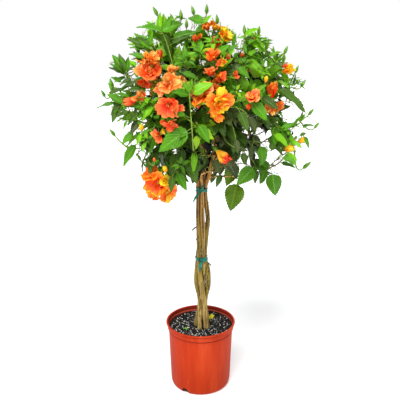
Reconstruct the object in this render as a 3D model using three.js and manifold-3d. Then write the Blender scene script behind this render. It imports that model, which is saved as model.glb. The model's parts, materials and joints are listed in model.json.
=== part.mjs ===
// A hibiscus grown as a small standard tree: four stems braided into one trunk, tied twice, with a round
// leafy head, standing in a round nursery pot. Millimetres, +Z up, origin at the centre of the pot's underside.
import * as THREE from "three";
import { mergeVertices } from "three/addons/utils/BufferGeometryUtils.js";
import Module from "manifold-3d";

const wasm = await Module();
wasm.setup();

// ---------------------------------------------------------------- driving dimensions

const GAP = 0.4; // clearance between touching pieces

const POT = {
  height: 250,
  lipRadius: 127, // outside of the rolled lip: a 10 inch pot
  collarRadius: 121.5, // the upright band under the lip
  collarDrop: 27, // from the lip's top down to the foot of that band
  shoulderRadius: 118, // body just under the band
  baseRadius: 110, // body just above the rounded foot
  footRadius: 98, // flat underside
  footRound: 14,
  wall: 2.2,
  sectors: 40,
};

const DRAIN = { count: 3, radius: 9, firstAngle: -121, height: 9 };

const SOIL = { centreTop: 225, edgeTop: 231, rings: 5 };

// Heights along the trunk where the stems change places, and where the bundle's middle stands there.
const STATIONS = {
  z: [226, 310, 350, 400, 496, 565, 640, 749, 800, 938],
  middleX: [7, 7, 7, 6, 2, 4, 7, 4, 8, 12],
};

// Each stem's offset [x, y] from the bundle's middle at each station: foot, waist, crossing, belly, lower tie,
// weave, bow, upper tie, fork, tip. The tip is where the stem enters the foliage.
const STEMS = {
  stem_left: {
    thick: 1.06,
    at: [
      [14, -14], [6, -10], [2, -17], [-4, -15], [-6, -8], [-9, -9], [-15, -4], [-12, -2], [-20, -4], [-70, -14],
    ],
  },
  stem_front: {
    thick: 0.94,
    at: [
      [-10, -13], [-9, -7], [-1, -1], [6, 5], [10, -8], [8, -10], [1, -11], [0, -10], [-5, -17], [-14, -66],
    ],
  },
  stem_right: {
    thick: 1.04,
    at: [
      [21, 12], [8, 9], [12, 12], [22, 1], [13, 7], [14, 6], [19, 1], [11, 3], [17, 2], [52, 12],
    ],
  },
  stem_back: {
    thick: 0.96,
    at: [
      [-25, 12], [-9, 9], [-12, 12], [-22, 2], [-11, 7], [-7, 10], [-2, 12], [0, 12], [2, 20], [4, 68],
    ],
  },
};
const STEM = { footRadius: 8.7, tieRadius: 6.9, tipRadius: 4.6, flare: 2.6, flareHeight: 16, sides: 7, steps: 36 };

const TIES = {
  tie_lower: { z: 498, height: 13, tilt: 0, knotX: 3, tail: [-7, -38], tailWidth: 9 },
  tie_upper: { z: 750, height: 9, tilt: -0.3, knotX: 1, tail: [-24, -36], tailWidth: 8 },
};
const TIE = { thick: 1.5, clear: 0.7, sides: 28, knot: 5.5, tailThick: 1.5 };

// The open space inside the head, where the stems fork.
const CORE = { centre: new THREE.Vector3(12, 0, 885), radii: new THREE.Vector3(95, 95, 132) };

// Side boughs, the same three on each stem: where they leave it, how far they turn from the stem's own
// heading, and how steeply they reach the foliage, in degrees.
const BOUGH_PLAN = [
  { label: "outer", from: 852, turn: -40, rise: 4 },
  { label: "lower", from: 815, turn: 34, rise: -24 },
  { label: "upper", from: 903, turn: 12, rise: 68 },
];
const BOUGH = { baseRadius: 3.6, tipRadius: 2.6, sides: 6, steps: 5 };
const LOW_BOUGH = { from: 797, baseRadius: 3.4, tipRadius: 2.4, end: [129, -22, 803] };

// The head: a slightly flattened ball of foliage, divided into rings of uneven masses.
const HEAD = { centre: new THREE.Vector3(16, 0, 1052), radii: new THREE.Vector3(326, 300, 280) };
const RINGS = [
  { label: "crown_top", count: 1, rise: 90, first: 0 },
  { label: "crown_upper", count: 5, rise: 36, first: -90 },
  { label: "crown_middle", count: 7, rise: -4, first: -64 },
  { label: "crown_lower", count: 4, rise: -44, first: -128 },
];
const MASS = { inner: 0.5, along: 0.5, across: 0.48, uneven: 0.09, seed: 7 };
const DROOPING = {
  name: "drooping_right",
  centre: new THREE.Vector3(218, -45, 806),
  radii: new THREE.Vector3(100, 70, 62),
};

// The furthest leaf tips, buds and the low bloom, each reached by a point of the nearest mass.
const TIPS = {
  bud_summit: [18, 0, 1357],
  bud_top_left: [-147, 0, 1352],
  bud_top: [-66, -40, 1340],
  leaf_left: [-343, 0, 1047],
  bud_left: [-300, -20, 967],
  bud_left_upper: [-328, 0, 1086],
  bud_right: [394, 0, 980],
  bud_right_low: [376, 0, 846],
  leaf_right: [352, -10, 1028],
  bud_top_right: [280, 0, 1222],
  leaf_top_right: [186, 0, 1288],
  hanging_leaf: [92, -105, 712],
  hanging_leaf_right: [246, -60, 735],
  low_bloom: [-108, -130, 742],
  leaf_low_left: [-198, -20, 800],
  leaf_low_front: [60, -150, 800],
  front: [10, -322, 1000],
  back: [40, 322, 1050],
};

// ---------------------------------------------------------------- finishes

const finish = (color, roughness) => new THREE.MeshStandardMaterial({ color, roughness, metalness: 0 });
const potFinish = finish(0xd9482a, 0.35);
const soilFinish = finish(0x2a231e, 0.95);
const barkFinish = finish(0xa88a4e, 0.8);
const tieFinish = finish(0x139a7c, 0.5);
const leafFinish = finish(0x3f8f22, 0.5);

// ---------------------------------------------------------------- helpers

const rad = THREE.MathUtils.degToRad;
const mix = THREE.MathUtils.lerp;
const polar = (radius, angle) => new THREE.Vector2(radius * Math.cos(angle), radius * Math.sin(angle));

function heading(azimuth, rise) {
  const flat = Math.cos(rad(rise));
  return new THREE.Vector3(
    flat * Math.cos(rad(azimuth)),
    flat * Math.sin(rad(azimuth)),
    Math.sin(rad(rise)),
  );
}

// Position-only copy of a geometry with its shared vertices merged.
function merged(geometry) {
  geometry.deleteAttribute("normal");
  geometry.deleteAttribute("uv");
  return mergeVertices(geometry, 1e-3);
}

function toSolid(geometry) {
  const closed = merged(geometry);
  return new wasm.Manifold(
    new wasm.Mesh({
      numProp: 3,
      vertProperties: new Float32Array(closed.attributes.position.array),
      triVerts: new Uint32Array(closed.index.array),
    }),
  );
}

function fromSolid(solid) {
  const cut = solid.getMesh();
  return new THREE.BufferGeometry()
    .setAttribute("position", new THREE.BufferAttribute(cut.vertProperties, 3))
    .setIndex(new THREE.BufferAttribute(cut.triVerts, 1));
}

function named(name, geometry, material) {
  const mesh = new THREE.Mesh(geometry, material);
  mesh.name = name;
  return mesh;
}

// A lathe about +Z from [radius, height] pairs.
function turned(profile, sectors) {
  const points = profile.map(([r, z]) => new THREE.Vector2(r, z));
  return new THREE.LatheGeometry(points, sectors).rotateX(Math.PI / 2);
}

// A cylinder bent and tapered: ring(t) gives its centre, radius and axis for t from 0 at the foot to 1.
function limb(sides, steps, ring) {
  const tube = merged(new THREE.CylinderGeometry(1, 1, 1, sides, steps));
  const position = tube.attributes.position;
  const side = new THREE.Vector3();
  const other = new THREE.Vector3();
  for (let i = 0; i < position.count; i++) {
    const { centre, radius, axis } = ring(position.getY(i) + 0.5);
    side.set(0, 1, 0).cross(axis);
    if (side.lengthSq() < 0.04) side.set(1, 0, 0).cross(axis).cross(axis).negate();
    side.normalize();
    other.crossVectors(side, axis);
    const place = centre
      .clone()
      .addScaledVector(side, radius * position.getX(i))
      .addScaledVector(other, radius * position.getZ(i));
    position.setXYZ(i, place.x, place.y, place.z);
  }
  return tube;
}

// A smooth curve through values given at rising places, read at one place.
function through(places, values, place) {
  let i = 0;
  while (i < places.length - 2 && place > places[i + 1]) i++;
  const slope = (k) => {
    const a = Math.max(k - 1, 0);
    const b = Math.min(k + 1, places.length - 1);
    return (values[b] - values[a]) / (places[b] - places[a]);
  };
  const span = places[i + 1] - places[i];
  const t = (place - places[i]) / span;
  const t2 = t * t;
  const t3 = t2 * t;
  return (
    (2 * t3 - 3 * t2 + 1) * values[i] +
    (t3 - 2 * t2 + t) * span * slope(i) +
    (3 * t2 - 2 * t3) * values[i + 1] +
    (t3 - t2) * span * slope(i + 1)
  );
}

// Repeatable numbers from 0 to 1.
function seeded(seed) {
  let state = seed;
  return () => {
    state = (state * 1664525 + 1013904223) % 4294967296;
    return state / 4294967296;
  };
}

// ---------------------------------------------------------------- pot and potting mix

function bodyRadius(z) {
  const bottom = POT.footRound;
  const top = POT.height - POT.collarDrop;
  return mix(POT.baseRadius, POT.shoulderRadius, (z - bottom) / (top - bottom));
}

function pot() {
  const collarFoot = POT.height - POT.collarDrop;
  const innerCollar = POT.collarRadius - POT.wall;
  const outside = [
    [0, 0],
    [POT.footRadius, 0],
    [POT.footRadius + 8, 3.5],
    [POT.baseRadius, POT.footRound],
    [POT.shoulderRadius, collarFoot],
    [POT.collarRadius, collarFoot + 4],
    [POT.collarRadius, POT.height - 7],
    [POT.lipRadius, POT.height - 5],
    [POT.lipRadius, POT.height - 1.5],
    [POT.lipRadius - 2, POT.height],
  ];
  const inside = [
    [innerCollar + 1, POT.height - 1],
    [innerCollar, POT.height - 6],
    [POT.shoulderRadius - POT.wall, collarFoot + 2],
    [POT.baseRadius - POT.wall, POT.footRound],
    [POT.footRadius, POT.wall + 1],
    [0, POT.wall + 1],
  ];
  let shell = toSolid(turned([...outside, ...inside], POT.sectors));
  for (let i = 0; i < DRAIN.count; i++) {
    const angle = rad(DRAIN.firstAngle + (i * 360) / DRAIN.count);
    const bore = new THREE.CylinderGeometry(DRAIN.radius, DRAIN.radius, 36, 12)
      .rotateZ(Math.PI / 2)
      .rotateY(rad(32))
      .translate(POT.baseRadius - 6, 0, DRAIN.height)
      .rotateZ(angle);
    shell = shell.subtract(toSolid(bore));
  }
  return named("pot", fromSolid(shell), potFinish);
}

function soilTop(r) {
  const edge = POT.shoulderRadius - POT.wall;
  return mix(SOIL.centreTop, SOIL.edgeTop, (r / edge) ** 2);
}

function pottingMix() {
  const fit = POT.wall + GAP + 0.3;
  const edge = bodyRadius(SOIL.edgeTop - 10) - fit;
  const profile = [
    [0, POT.wall + 1 + GAP],
    [POT.footRadius - 1, POT.wall + 1 + GAP],
    [POT.baseRadius - fit - 0.4, POT.footRound + 1],
    [edge, SOIL.edgeTop - 10],
  ];
  for (let i = SOIL.rings; i > 0; i--) {
    const r = (edge * i) / SOIL.rings;
    profile.push([r, soilTop(r)]);
  }
  profile.push([0, SOIL.centreTop]);
  return named("potting_mix", turned(profile, POT.sectors), soilFinish);
}

// ---------------------------------------------------------------- braided stems

const trunkFoot = SOIL.edgeTop - 3;
const trunkTip = STATIONS.z.at(-1);
const tieTop = TIES.tie_upper.z;

function stemRadius(name, z) {
  const { thick } = STEMS[name];
  const below = mix(STEM.footRadius, STEM.tieRadius, (z - trunkFoot) / (tieTop - trunkFoot));
  const above = mix(STEM.tieRadius, STEM.tipRadius, (z - tieTop) / (trunkTip - tieTop));
  const flare = STEM.flare * Math.exp((trunkFoot - z) / STEM.flareHeight);
  return thick * (z < tieTop ? below : above) + flare;
}

// Where every stem stands at height z. Stems that would press into each other are pushed apart.
function bundleAt(z) {
  const names = Object.keys(STEMS);
  const middle = through(STATIONS.z, STATIONS.middleX, z);
  const places = names.map((name) => {
    const x = through(STATIONS.z, STEMS[name].at.map((p) => p[0]), z);
    const y = through(STATIONS.z, STEMS[name].at.map((p) => p[1]), z);
    return new THREE.Vector3(middle + x, y, z);
  });
  for (let pass = 0; pass < 60; pass++) {
    for (let i = 0; i < names.length; i++) {
      for (let j = i + 1; j < names.length; j++) {
        const between = places[j].clone().sub(places[i]);
        const least = stemRadius(names[i], z) + stemRadius(names[j], z) + 1.7;
        const push = (least - between.length()) / 2;
        if (push <= 0) continue;
        between.setLength(push);
        places[i].sub(between);
        places[j].add(between);
      }
    }
  }
  return Object.fromEntries(names.map((name, i) => [name, places[i]]));
}

const upright = new THREE.Vector3(0, 0, 1);

function stem(name) {
  const geometry = limb(STEM.sides, STEM.steps, (t) => {
    const z = mix(trunkFoot + GAP, trunkTip, t);
    return { centre: bundleAt(z)[name], radius: stemRadius(name, z), axis: upright };
  });
  return named(name, geometry, barkFinish);
}

// ---------------------------------------------------------------- ties

// How far the stems reach towards an angle, between two heights.
function reachOfStems(angle, low, high) {
  const aim = polar(1, angle);
  let most = 0;
  for (let z = low; z <= high; z += 1) {
    for (const [name, place] of Object.entries(bundleAt(z))) {
      most = Math.max(most, aim.x * place.x + aim.y * place.y + stemRadius(name, z));
    }
  }
  return most;
}

// The taut outline round the stems, standing off by a margin, as a closed loop of 2-D points.
function girdle(z, halfHeight, standOff) {
  const turn = (2 * Math.PI) / TIE.sides;
  const reach = Array.from({ length: TIE.sides }, (_, i) =>
    reachOfStems(i * turn, z - halfHeight, z + halfHeight) + standOff,
  );
  return reach.map((here, i) => {
    const next = reach[(i + 1) % TIE.sides];
    const along = (next - here * Math.cos(turn)) / Math.sin(turn);
    return polar(here, i * turn).add(polar(along, i * turn + Math.PI / 2));
  });
}

function tie(name) {
  const { z, height, tilt, knotX, tail, tailWidth } = TIES[name];
  const halfHeight = height / 2 + 22 * Math.abs(tilt) + 1;
  const band = new THREE.Shape(girdle(z, halfHeight, TIE.clear + TIE.thick));
  band.holes.push(new THREE.Path(girdle(z, halfHeight, TIE.clear)));
  const level = new THREE.ExtrudeGeometry(band, { depth: height, bevelEnabled: false });
  level.translate(0, 0, z - height / 2);
  const position = level.attributes.position;
  for (let i = 0; i < position.count; i++) {
    position.setZ(i, position.getZ(i) + tilt * (position.getX(i) - STATIONS.middleX.at(-3)));
  }
  const face = -reachOfStems(-Math.PI / 2, z - halfHeight, z + halfHeight) - TIE.clear - TIE.thick;
  const front = Math.min(face, -reachOfStems(-Math.PI / 2, z + tail[1], z)) - 1.4;
  const knot = new THREE.BoxGeometry(2 * TIE.knot, face - front + 2, height * 0.8);
  knot.translate(knotX, (face + front) / 2 + 0.2, z);
  const drop = Math.hypot(...tail);
  const strip = new THREE.BoxGeometry(tailWidth, TIE.tailThick, drop)
    .translate(0, 0, -drop / 2)
    .rotateY(Math.atan2(-tail[0], -tail[1]))
    .translate(knotX, front, z);
  const joined = toSolid(level).add(toSolid(knot)).add(toSolid(strip));
  return named(name, fromSolid(joined), tieFinish);
}

// ---------------------------------------------------------------- boughs

const coreEdge = (aim, share) => CORE.centre.clone().addScaledVector(aim.clone().multiply(CORE.radii), share);

function bough(name, start, end, baseRadius, tipRadius) {
  const lift = start.clone().lerp(end, 0.5);
  lift.z = mix(lift.z, Math.max(start.z, end.z), 0.35);
  const path = new THREE.QuadraticBezierCurve3(start, lift, end);
  const geometry = limb(BOUGH.sides, BOUGH.steps, (t) => ({
    centre: path.getPoint(t),
    radius: mix(baseRadius, tipRadius, t),
    axis: path.getTangent(t),
  }));
  return named(name, geometry, barkFinish);
}

// The point beside a stem, clear of its bark, on the side that faces a target.
function besideStem(name, z, target, clear) {
  const centre = bundleAt(z)[name];
  const aside = target.clone().sub(centre).setZ(0);
  return centre.clone().add(aside.setLength(stemRadius(name, z) + clear));
}

function boughs() {
  const made = [];
  for (const [name, { at }] of Object.entries(STEMS)) {
    const [x, y] = at.at(-1);
    const own = THREE.MathUtils.radToDeg(Math.atan2(y, x));
    for (const { label, from, turn, rise } of BOUGH_PLAN) {
      const end = coreEdge(heading(own + turn, rise), 0.955);
      const start = besideStem(name, from, end, BOUGH.baseRadius + 1.2);
      const title = `bough_${name.replace("stem_", "")}_${label}`;
      made.push(bough(title, start, end, BOUGH.baseRadius, BOUGH.tipRadius));
    }
  }
  const lowEnd = new THREE.Vector3(...LOW_BOUGH.end);
  const lowStart = besideStem("stem_right", LOW_BOUGH.from, lowEnd, LOW_BOUGH.baseRadius + 1);
  made.push(bough("bough_low_right", lowStart, lowEnd, LOW_BOUGH.baseRadius, LOW_BOUGH.tipRadius));
  return made;
}

// ---------------------------------------------------------------- foliage

// Every mass before cutting: its name, centre, radii and the way its long axis points.
function massPlan() {
  const plan = [{ ...DROOPING, aim: heading(-10, -8), whole: true }];
  for (const { label, count, rise, first } of RINGS) {
    for (let i = 0; i < count; i++) {
      const aim = heading(first + (i * 360) / count, rise);
      const reach = aim.clone().multiply(HEAD.radii).length();
      plan.push({
        name: count > 1 ? `${label}_${i + 1}` : label,
        centre: HEAD.centre.clone().addScaledVector(aim, reach * MASS.inner),
        radii: new THREE.Vector3(MASS.across, MASS.across, MASS.along).multiplyScalar(reach),
        aim,
      });
    }
  }
  return plan;
}

// A ball stretched to the mass's radii, made uneven by slow waves and pulled out to its tips.
function unevenBall({ centre, radii, aim, whole }, tips, random) {
  const ball = merged(new THREE.IcosahedronGeometry(1, 3));
  const turn = new THREE.Quaternion();
  if (!whole) turn.setFromUnitVectors(upright, aim);
  const waves = Array.from({ length: 4 }, () => ({
    along: new THREE.Vector3(random() - 0.5, random() - 0.5, random() - 0.5).setLength(3 + 4 * random()),
    phase: 6.28 * random(),
  }));
  const position = ball.attributes.position;
  const spots = [];
  for (let i = 0; i < position.count; i++) {
    const spot = new THREE.Vector3().fromBufferAttribute(position, i);
    const swell = waves.reduce((sum, { along, phase }) => sum + Math.sin(along.dot(spot) + phase), 0);
    spot.multiplyScalar(1 + (MASS.uneven * swell) / 1.5).multiply(radii).applyQuaternion(turn);
    spots.push(spot);
  }
  for (const tip of tips) {
    const way = tip.clone().sub(centre);
    const furthest = spots.reduce((a, b) => (b.angleTo(way) < a.angleTo(way) ? b : a));
    for (const spot of spots) {
      const pull = Math.exp(-((spot.angleTo(way) / 0.3) ** 2));
      const short = way.length() - furthest.length();
      if (short > 0) spot.setLength(spot.length() + 0.55 * pull * short);
    }
    furthest.copy(way);
  }
  spots.forEach((spot, i) => position.setXYZ(i, spot.x + centre.x, spot.y + centre.y, spot.z + centre.z));
  return ball;
}

// A block that fills the far side of the plane halfway between two points, less a gap.
function farSide(from, to) {
  const way = to.clone().sub(from).normalize();
  const size = 900;
  const block = new THREE.BoxGeometry(size, size, size).translate(0, 0, size / 2);
  block.applyQuaternion(new THREE.Quaternion().setFromUnitVectors(upright, way));
  const middle = from.clone().lerp(to, 0.5).addScaledVector(way, -1.5);
  return toSolid(block.translate(middle.x, middle.y, middle.z));
}

function foliage() {
  const plan = massPlan();
  const random = seeded(MASS.seed);
  const nearest = (tip) => plan.reduce((a, b) => (b.centre.distanceTo(tip) < a.centre.distanceTo(tip) ? b : a));
  const allTips = Object.values(TIPS).map((place) => new THREE.Vector3(...place));
  const core = new THREE.IcosahedronGeometry(1, 4).scale(...CORE.radii).translate(...CORE.centre);
  const hollow = toSolid(core);
  return plan.map((mass) => {
    const tips = allTips.filter((tip) => nearest(tip) === mass);
    let solid = toSolid(unevenBall(mass, tips, random)).subtract(hollow);
    for (const other of plan) {
      const apart = mass.centre.distanceTo(other.centre);
      if (other === mass || apart > 420) continue;
      solid = solid.subtract(farSide(mass.centre, other.centre));
    }
    return named(mass.name, fromSolid(solid), leafFinish);
  });
}

// ---------------------------------------------------------------- the whole plant

const plant = new THREE.Group();
plant.add(pot(), pottingMix());
plant.add(...Object.keys(STEMS).map(stem));
plant.add(...Object.keys(TIES).map(tie));
plant.add(...boughs());
plant.add(...foliage());

export default plant;
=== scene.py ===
"""A hibiscus grown as a small standard tree: four braided stems tied with ribbon, a head of twigs, toothed
leaves, double blooms and buds, in a moulded nursery pot. Metres, +Z up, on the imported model's frame."""
import json
import math
from collections import namedtuple

import bpy
import numpy as np
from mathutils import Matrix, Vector
from mathutils.bvhtree import BVHTree

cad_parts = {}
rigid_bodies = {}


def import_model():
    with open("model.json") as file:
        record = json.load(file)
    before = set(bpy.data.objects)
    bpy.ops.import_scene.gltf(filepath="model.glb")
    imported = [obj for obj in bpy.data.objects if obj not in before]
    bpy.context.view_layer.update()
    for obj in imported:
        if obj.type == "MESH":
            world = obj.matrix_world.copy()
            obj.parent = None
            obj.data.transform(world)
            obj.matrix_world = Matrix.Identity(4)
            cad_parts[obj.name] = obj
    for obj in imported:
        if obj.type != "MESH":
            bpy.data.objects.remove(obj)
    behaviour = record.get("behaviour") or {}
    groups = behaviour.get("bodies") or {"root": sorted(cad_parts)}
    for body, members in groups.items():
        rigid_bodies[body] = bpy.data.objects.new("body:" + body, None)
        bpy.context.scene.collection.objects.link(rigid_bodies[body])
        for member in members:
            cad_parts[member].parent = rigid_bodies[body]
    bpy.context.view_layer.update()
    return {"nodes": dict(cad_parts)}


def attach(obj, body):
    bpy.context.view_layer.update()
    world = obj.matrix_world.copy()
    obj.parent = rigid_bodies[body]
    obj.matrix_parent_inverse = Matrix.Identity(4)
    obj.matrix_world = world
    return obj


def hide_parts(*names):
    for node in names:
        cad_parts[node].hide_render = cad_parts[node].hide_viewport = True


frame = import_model()
nodes = frame["nodes"]

UP = np.array([0.0, 0.0, 1.0])
TURN = 2 * math.pi
GOLDEN = math.radians(137.5)


# ---- shader expressions

def srgb(red, green, blue):
    """A linear colour with alpha from three 0 to 255 screen values."""
    screen = np.array([red, green, blue]) / 255
    linear = np.where(screen <= 0.04045, screen / 12.92, ((screen + 0.055) / 1.055) ** 2.4)
    return (*linear, 1.0)


class Value:
    """A node socket in a sum: an expression on values adds its Math nodes."""

    def __init__(self, paint, socket):
        self.paint = paint
        self.socket = socket

    def __add__(self, other):
        return self.paint.math("ADD", self, other)

    def __sub__(self, other):
        return self.paint.math("SUBTRACT", self, other)

    def __rsub__(self, other):
        return self.paint.math("SUBTRACT", other, self)

    def __mul__(self, other):
        return self.paint.math("MULTIPLY", self, other)

    __radd__ = __add__
    __rmul__ = __mul__


class Nodes:
    """A node tree being filled. Every node but the surface's own comes from node()."""

    def __init__(self, tree):
        self.tree = tree

    def node(self, kind, settings, sockets, output=0):
        """A node of one kind: its settings are made first, then the values or links of its sockets."""
        made = self.tree.nodes.new(kind)
        for key, value in settings.items():
            if key == "stops":
                self.set_stops(made.color_ramp, value)
            else:
                setattr(made, key, value)
        for key, value in sockets.items():
            if isinstance(value, Value):
                self.tree.links.new(value.socket, made.inputs[key])
            else:
                made.inputs[key].default_value = value
        return Value(self, made.outputs[output])

    @staticmethod
    def set_stops(ramp, stops):
        """Gives a colour ramp its stops, pairs of place and colour."""
        while len(ramp.elements) < len(stops):
            ramp.elements.new(1.0)
        for element, (place, colour) in zip(ramp.elements, stops):
            element.position = place
            element.color = colour

    def math(self, operation, *terms):
        """A Math node on its terms."""
        return self.node("ShaderNodeMath", {"operation": operation}, dict(enumerate(terms)))

    def vector(self, operation, *terms, output=0):
        """A Vector Math node on its terms."""
        return self.node("ShaderNodeVectorMath", {"operation": operation}, dict(enumerate(terms)), output)

    def part(self, vector, axis):
        """One of a vector's three numbers."""
        return self.node("ShaderNodeSeparateXYZ", {}, {0: vector}, axis)

    def here(self, stretch=(1, 1, 1)):
        """The place on the piece, times a factor for each axis."""
        place = self.node("ShaderNodeTexCoord", {}, {}, "Object")
        return self.vector("MULTIPLY", place, stretch)

    def height(self):
        """How high the place on the piece is."""
        return self.part(self.here(), 2)

    def noise(self, scale, stretch=(1, 1, 1), detail=3.0):
        """Cloudy noise about 0.5, with scale lumps to the metre where it isn't stretched."""
        sockets = {"Vector": self.here(stretch), "Scale": scale, "Detail": detail}
        return self.node("ShaderNodeTexNoise", {}, sockets, "Fac")

    def skin_place(self):
        """The piece's own surface coordinates."""
        return self.node("ShaderNodeUVMap", {"uv_map": "surface"}, {})

    def uv(self, axis):
        """One of the surface coordinates."""
        return self.part(self.skin_place(), axis)

    def ease(self, value, low, high):
        """0 up to low, 1 from high on, and a smooth step between them."""
        settings = {"interpolation_type": "SMOOTHSTEP"}
        return self.node("ShaderNodeMapRange", settings, {0: value, 1: low, 2: high})

    def mix(self, share, first, second):
        """The first colour at share 0 and the second at share 1."""
        settings = {"data_type": "RGBA"}
        return self.node("ShaderNodeMix", settings, {0: share, 6: first, 7: second}, 2)

    def ramp(self, value, stops):
        """The colour that a ramp of stops gives a value."""
        return self.node("ShaderNodeValToRGB", {"stops": stops}, {0: value})


class Paint(Nodes):
    """A material in the making."""

    def __init__(self, name, roughness, specular):
        self.material = bpy.data.materials.new(name)
        self.material.use_nodes = True
        super().__init__(self.material.node_tree)
        self.tree.nodes.clear()
        self.shader = self.tree.nodes.new("ShaderNodeBsdfPrincipled")
        self.shader.inputs["Roughness"].default_value = roughness
        self.shader.inputs["Specular IOR Level"].default_value = specular
        surface = self.tree.nodes.new("ShaderNodeOutputMaterial")
        self.tree.links.new(self.shader.outputs[0], surface.inputs[0])

    def feed(self, socket, value):
        """Links a value to one of the surface's sockets."""
        self.tree.links.new(value.socket, self.shader.inputs[socket])

    def bump(self, height, strength, distance):
        """Lets a value raise the surface by up to a distance."""
        sockets = {"Height": height, "Strength": strength, "Distance": distance}
        self.feed("Normal", self.node("ShaderNodeBump", {}, sockets))


GROOVE_HEIGHT = 0.2212
LIP_HEIGHT = 0.2412
# Ranges over which the painted shade on the pot's inner wall begins, by radius and by height, and over which
# a band of painted highlight on that wall begins and ends.
WALL_RADIUS = (0.1206, 0.1213)
WALL_HEIGHT = (0.2226, 0.2242)
HIGHLIGHT_BAND_FOOT = (0.2292, 0.2304)
HIGHLIGHT_BAND_HEAD = (0.2352, 0.2364)


def pot_plastic():
    """Terracotta-coloured moulded plastic: long soft upright streaks, scuffs and a slightly waxy sheen, painted
    shade that darkens it towards the bottom, painted shade as dark lines in the groove and under the lip and
    over the inner wall, and a band of painted highlight on that wall."""
    paint = Paint("pot_plastic", 0.6, 0.06)
    streak = paint.noise(9.0, (3, 3, 0.35), 4.0)
    scuff = paint.ease(paint.noise(70.0, (1, 1, 0.4), 5.0), 0.6, 0.75)
    height = paint.height()
    high = paint.ramp(
        streak, [(0.3, srgb(170, 46, 16)), (0.5, srgb(182, 54, 21)), (0.72, srgb(196, 68, 34))])
    low = paint.ramp(
        streak, [(0.3, srgb(154, 40, 10)), (0.5, srgb(164, 47, 14)), (0.72, srgb(176, 58, 22))])
    # Painted shade: a dark line along the groove under the collar.
    groove = paint.math("ABSOLUTE", height - GROOVE_HEIGHT)
    # Painted shade: the plastic grows darker towards the bottom.
    base = paint.mix(paint.ease(height, 0.02, 0.2), low, high)
    base = paint.mix(1 - paint.ease(groove, 0.0008, 0.003), base, srgb(134, 42, 24))
    # Painted shade: a dark line just under the outer lip.
    lip_shade_gap = paint.math("ABSOLUTE", height - LIP_HEIGHT)
    base = paint.mix((1 - paint.ease(lip_shade_gap, 0.0006, 0.0022)) * 0.6, base, srgb(92, 22, 12))
    base = paint.mix(scuff * 0.15, base, srgb(222, 104, 78))
    # Painted shade over the inner wall, with a band of painted highlight across it.
    radius = paint.vector("LENGTH", paint.here((1, 1, 0)), output=1)
    within = (1 - paint.ease(radius, *WALL_RADIUS)) * paint.ease(height, *WALL_HEIGHT)
    highlight_band = paint.ease(height, *HIGHLIGHT_BAND_FOOT) - paint.ease(height, *HIGHLIGHT_BAND_HEAD)
    wall = paint.mix(highlight_band * 0.75, srgb(124, 38, 28), srgb(226, 104, 80))
    paint.feed("Base Color", paint.mix(within * 0.85, base, wall))
    paint.feed("Roughness", 0.42 + streak * 0.14 + scuff * 0.18)
    paint.bump(streak + scuff * 0.1, 0.12, 0.002)
    return paint.material


def speckled(name, dark, pale, scale, roughness=0.85, depth=0.001, stretch=(1, 1, 1)):
    """A matte stuff that wanders between two colours, with a grain that also lifts the surface."""
    paint = Paint(name, roughness, 0.3)
    grain = paint.noise(scale, stretch, 5.0)
    paint.feed("Base Color", paint.mix(paint.ease(grain, 0.3, 0.7), dark, pale))
    paint.bump(grain, 0.5, depth)
    return paint.material


STEM_FOOT = (0.27, 0.36)  # heights between which the foot's pale wood ends
STEM_HEAD = (0.54, 0.8)  # heights between which redder wood begins
PARTED_FOOT = (0.28, 0.34)  # heights between which the stems begin to stand apart below the lower tie
PARTED_HEAD = (0.44, 0.5)  # and between which they come together again


def stem_bark(name, dark, pale, foot=srgb(178, 152, 92), lower=None, top=0.0, crease=0.75):
    """Tan-olive bark: fine upright fissures, pale breathing pores, redder wood high on the stem and paler wood
    at its foot. Where a lower colour is given, the wood has it up to the height top, with shallower fissures.
    Shade is painted on the bark where other stems are near, and crease widens that painted shade where the
    stems stand apart."""
    paint = Paint(name, 0.72, 0.3)
    fissure = paint.noise(170.0, (1, 1, 0.04), 5.0)
    patch = paint.noise(16.0, (1, 1, 0.5), 2.0)
    height = paint.height()
    cell = paint.node(
        "ShaderNodeTexVoronoi", {}, {"Vector": paint.here((1, 1, 0.55)), "Scale": 170.0}, "Distance")
    pore = 1 - paint.ease(cell, 0.12, 0.28)
    low = paint.mix(paint.ease(patch, 0.38, 0.62), dark, pale)
    high = paint.mix(paint.ease(patch, 0.38, 0.62), srgb(200, 136, 62), srgb(238, 178, 98))
    wood = paint.mix(paint.ease(height, *STEM_HEAD), low, high)
    crack = srgb(76, 54, 20)
    if lower is not None:
        wood = paint.mix((1 - paint.ease(height, top - 0.07, top)) * 0.8, wood, lower)
        crack = paint.mix(paint.ease(height, top - 0.05, top + 0.02), srgb(122, 94, 44), crack)
    wood = paint.mix((1 - paint.ease(height, *STEM_FOOT)) * 0.6, wood, foot)
    mottle = paint.noise(330.0, (1, 1, 0.5), 4.0)
    cracked = paint.mix(paint.ease(fissure, 0.38, 0.56), crack, wood)
    spotted = paint.mix(paint.ease(mottle, 0.5, 0.64) * 0.3, cracked, srgb(214, 192, 122))
    # Painted shade: the bark darkens where another stem is near, and more widely where the stems stand apart.
    parted = paint.ease(height, *PARTED_FOOT) - paint.ease(height, *PARTED_HEAD)
    nearness = paint.uv(1) * (1 - parted * crease)
    crevice_shade = 1 - paint.ease(nearness, 0.0, 0.22)
    spotted = paint.mix(pore * 0.2, spotted, srgb(206, 182, 116))
    paint.feed("Base Color", paint.mix(crevice_shade * 0.9, spotted, srgb(34, 26, 10)))
    paint.bump(fissure + mottle * 0.4 + pore * 0.25, 0.7, 0.0016)
    return paint.material


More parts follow.
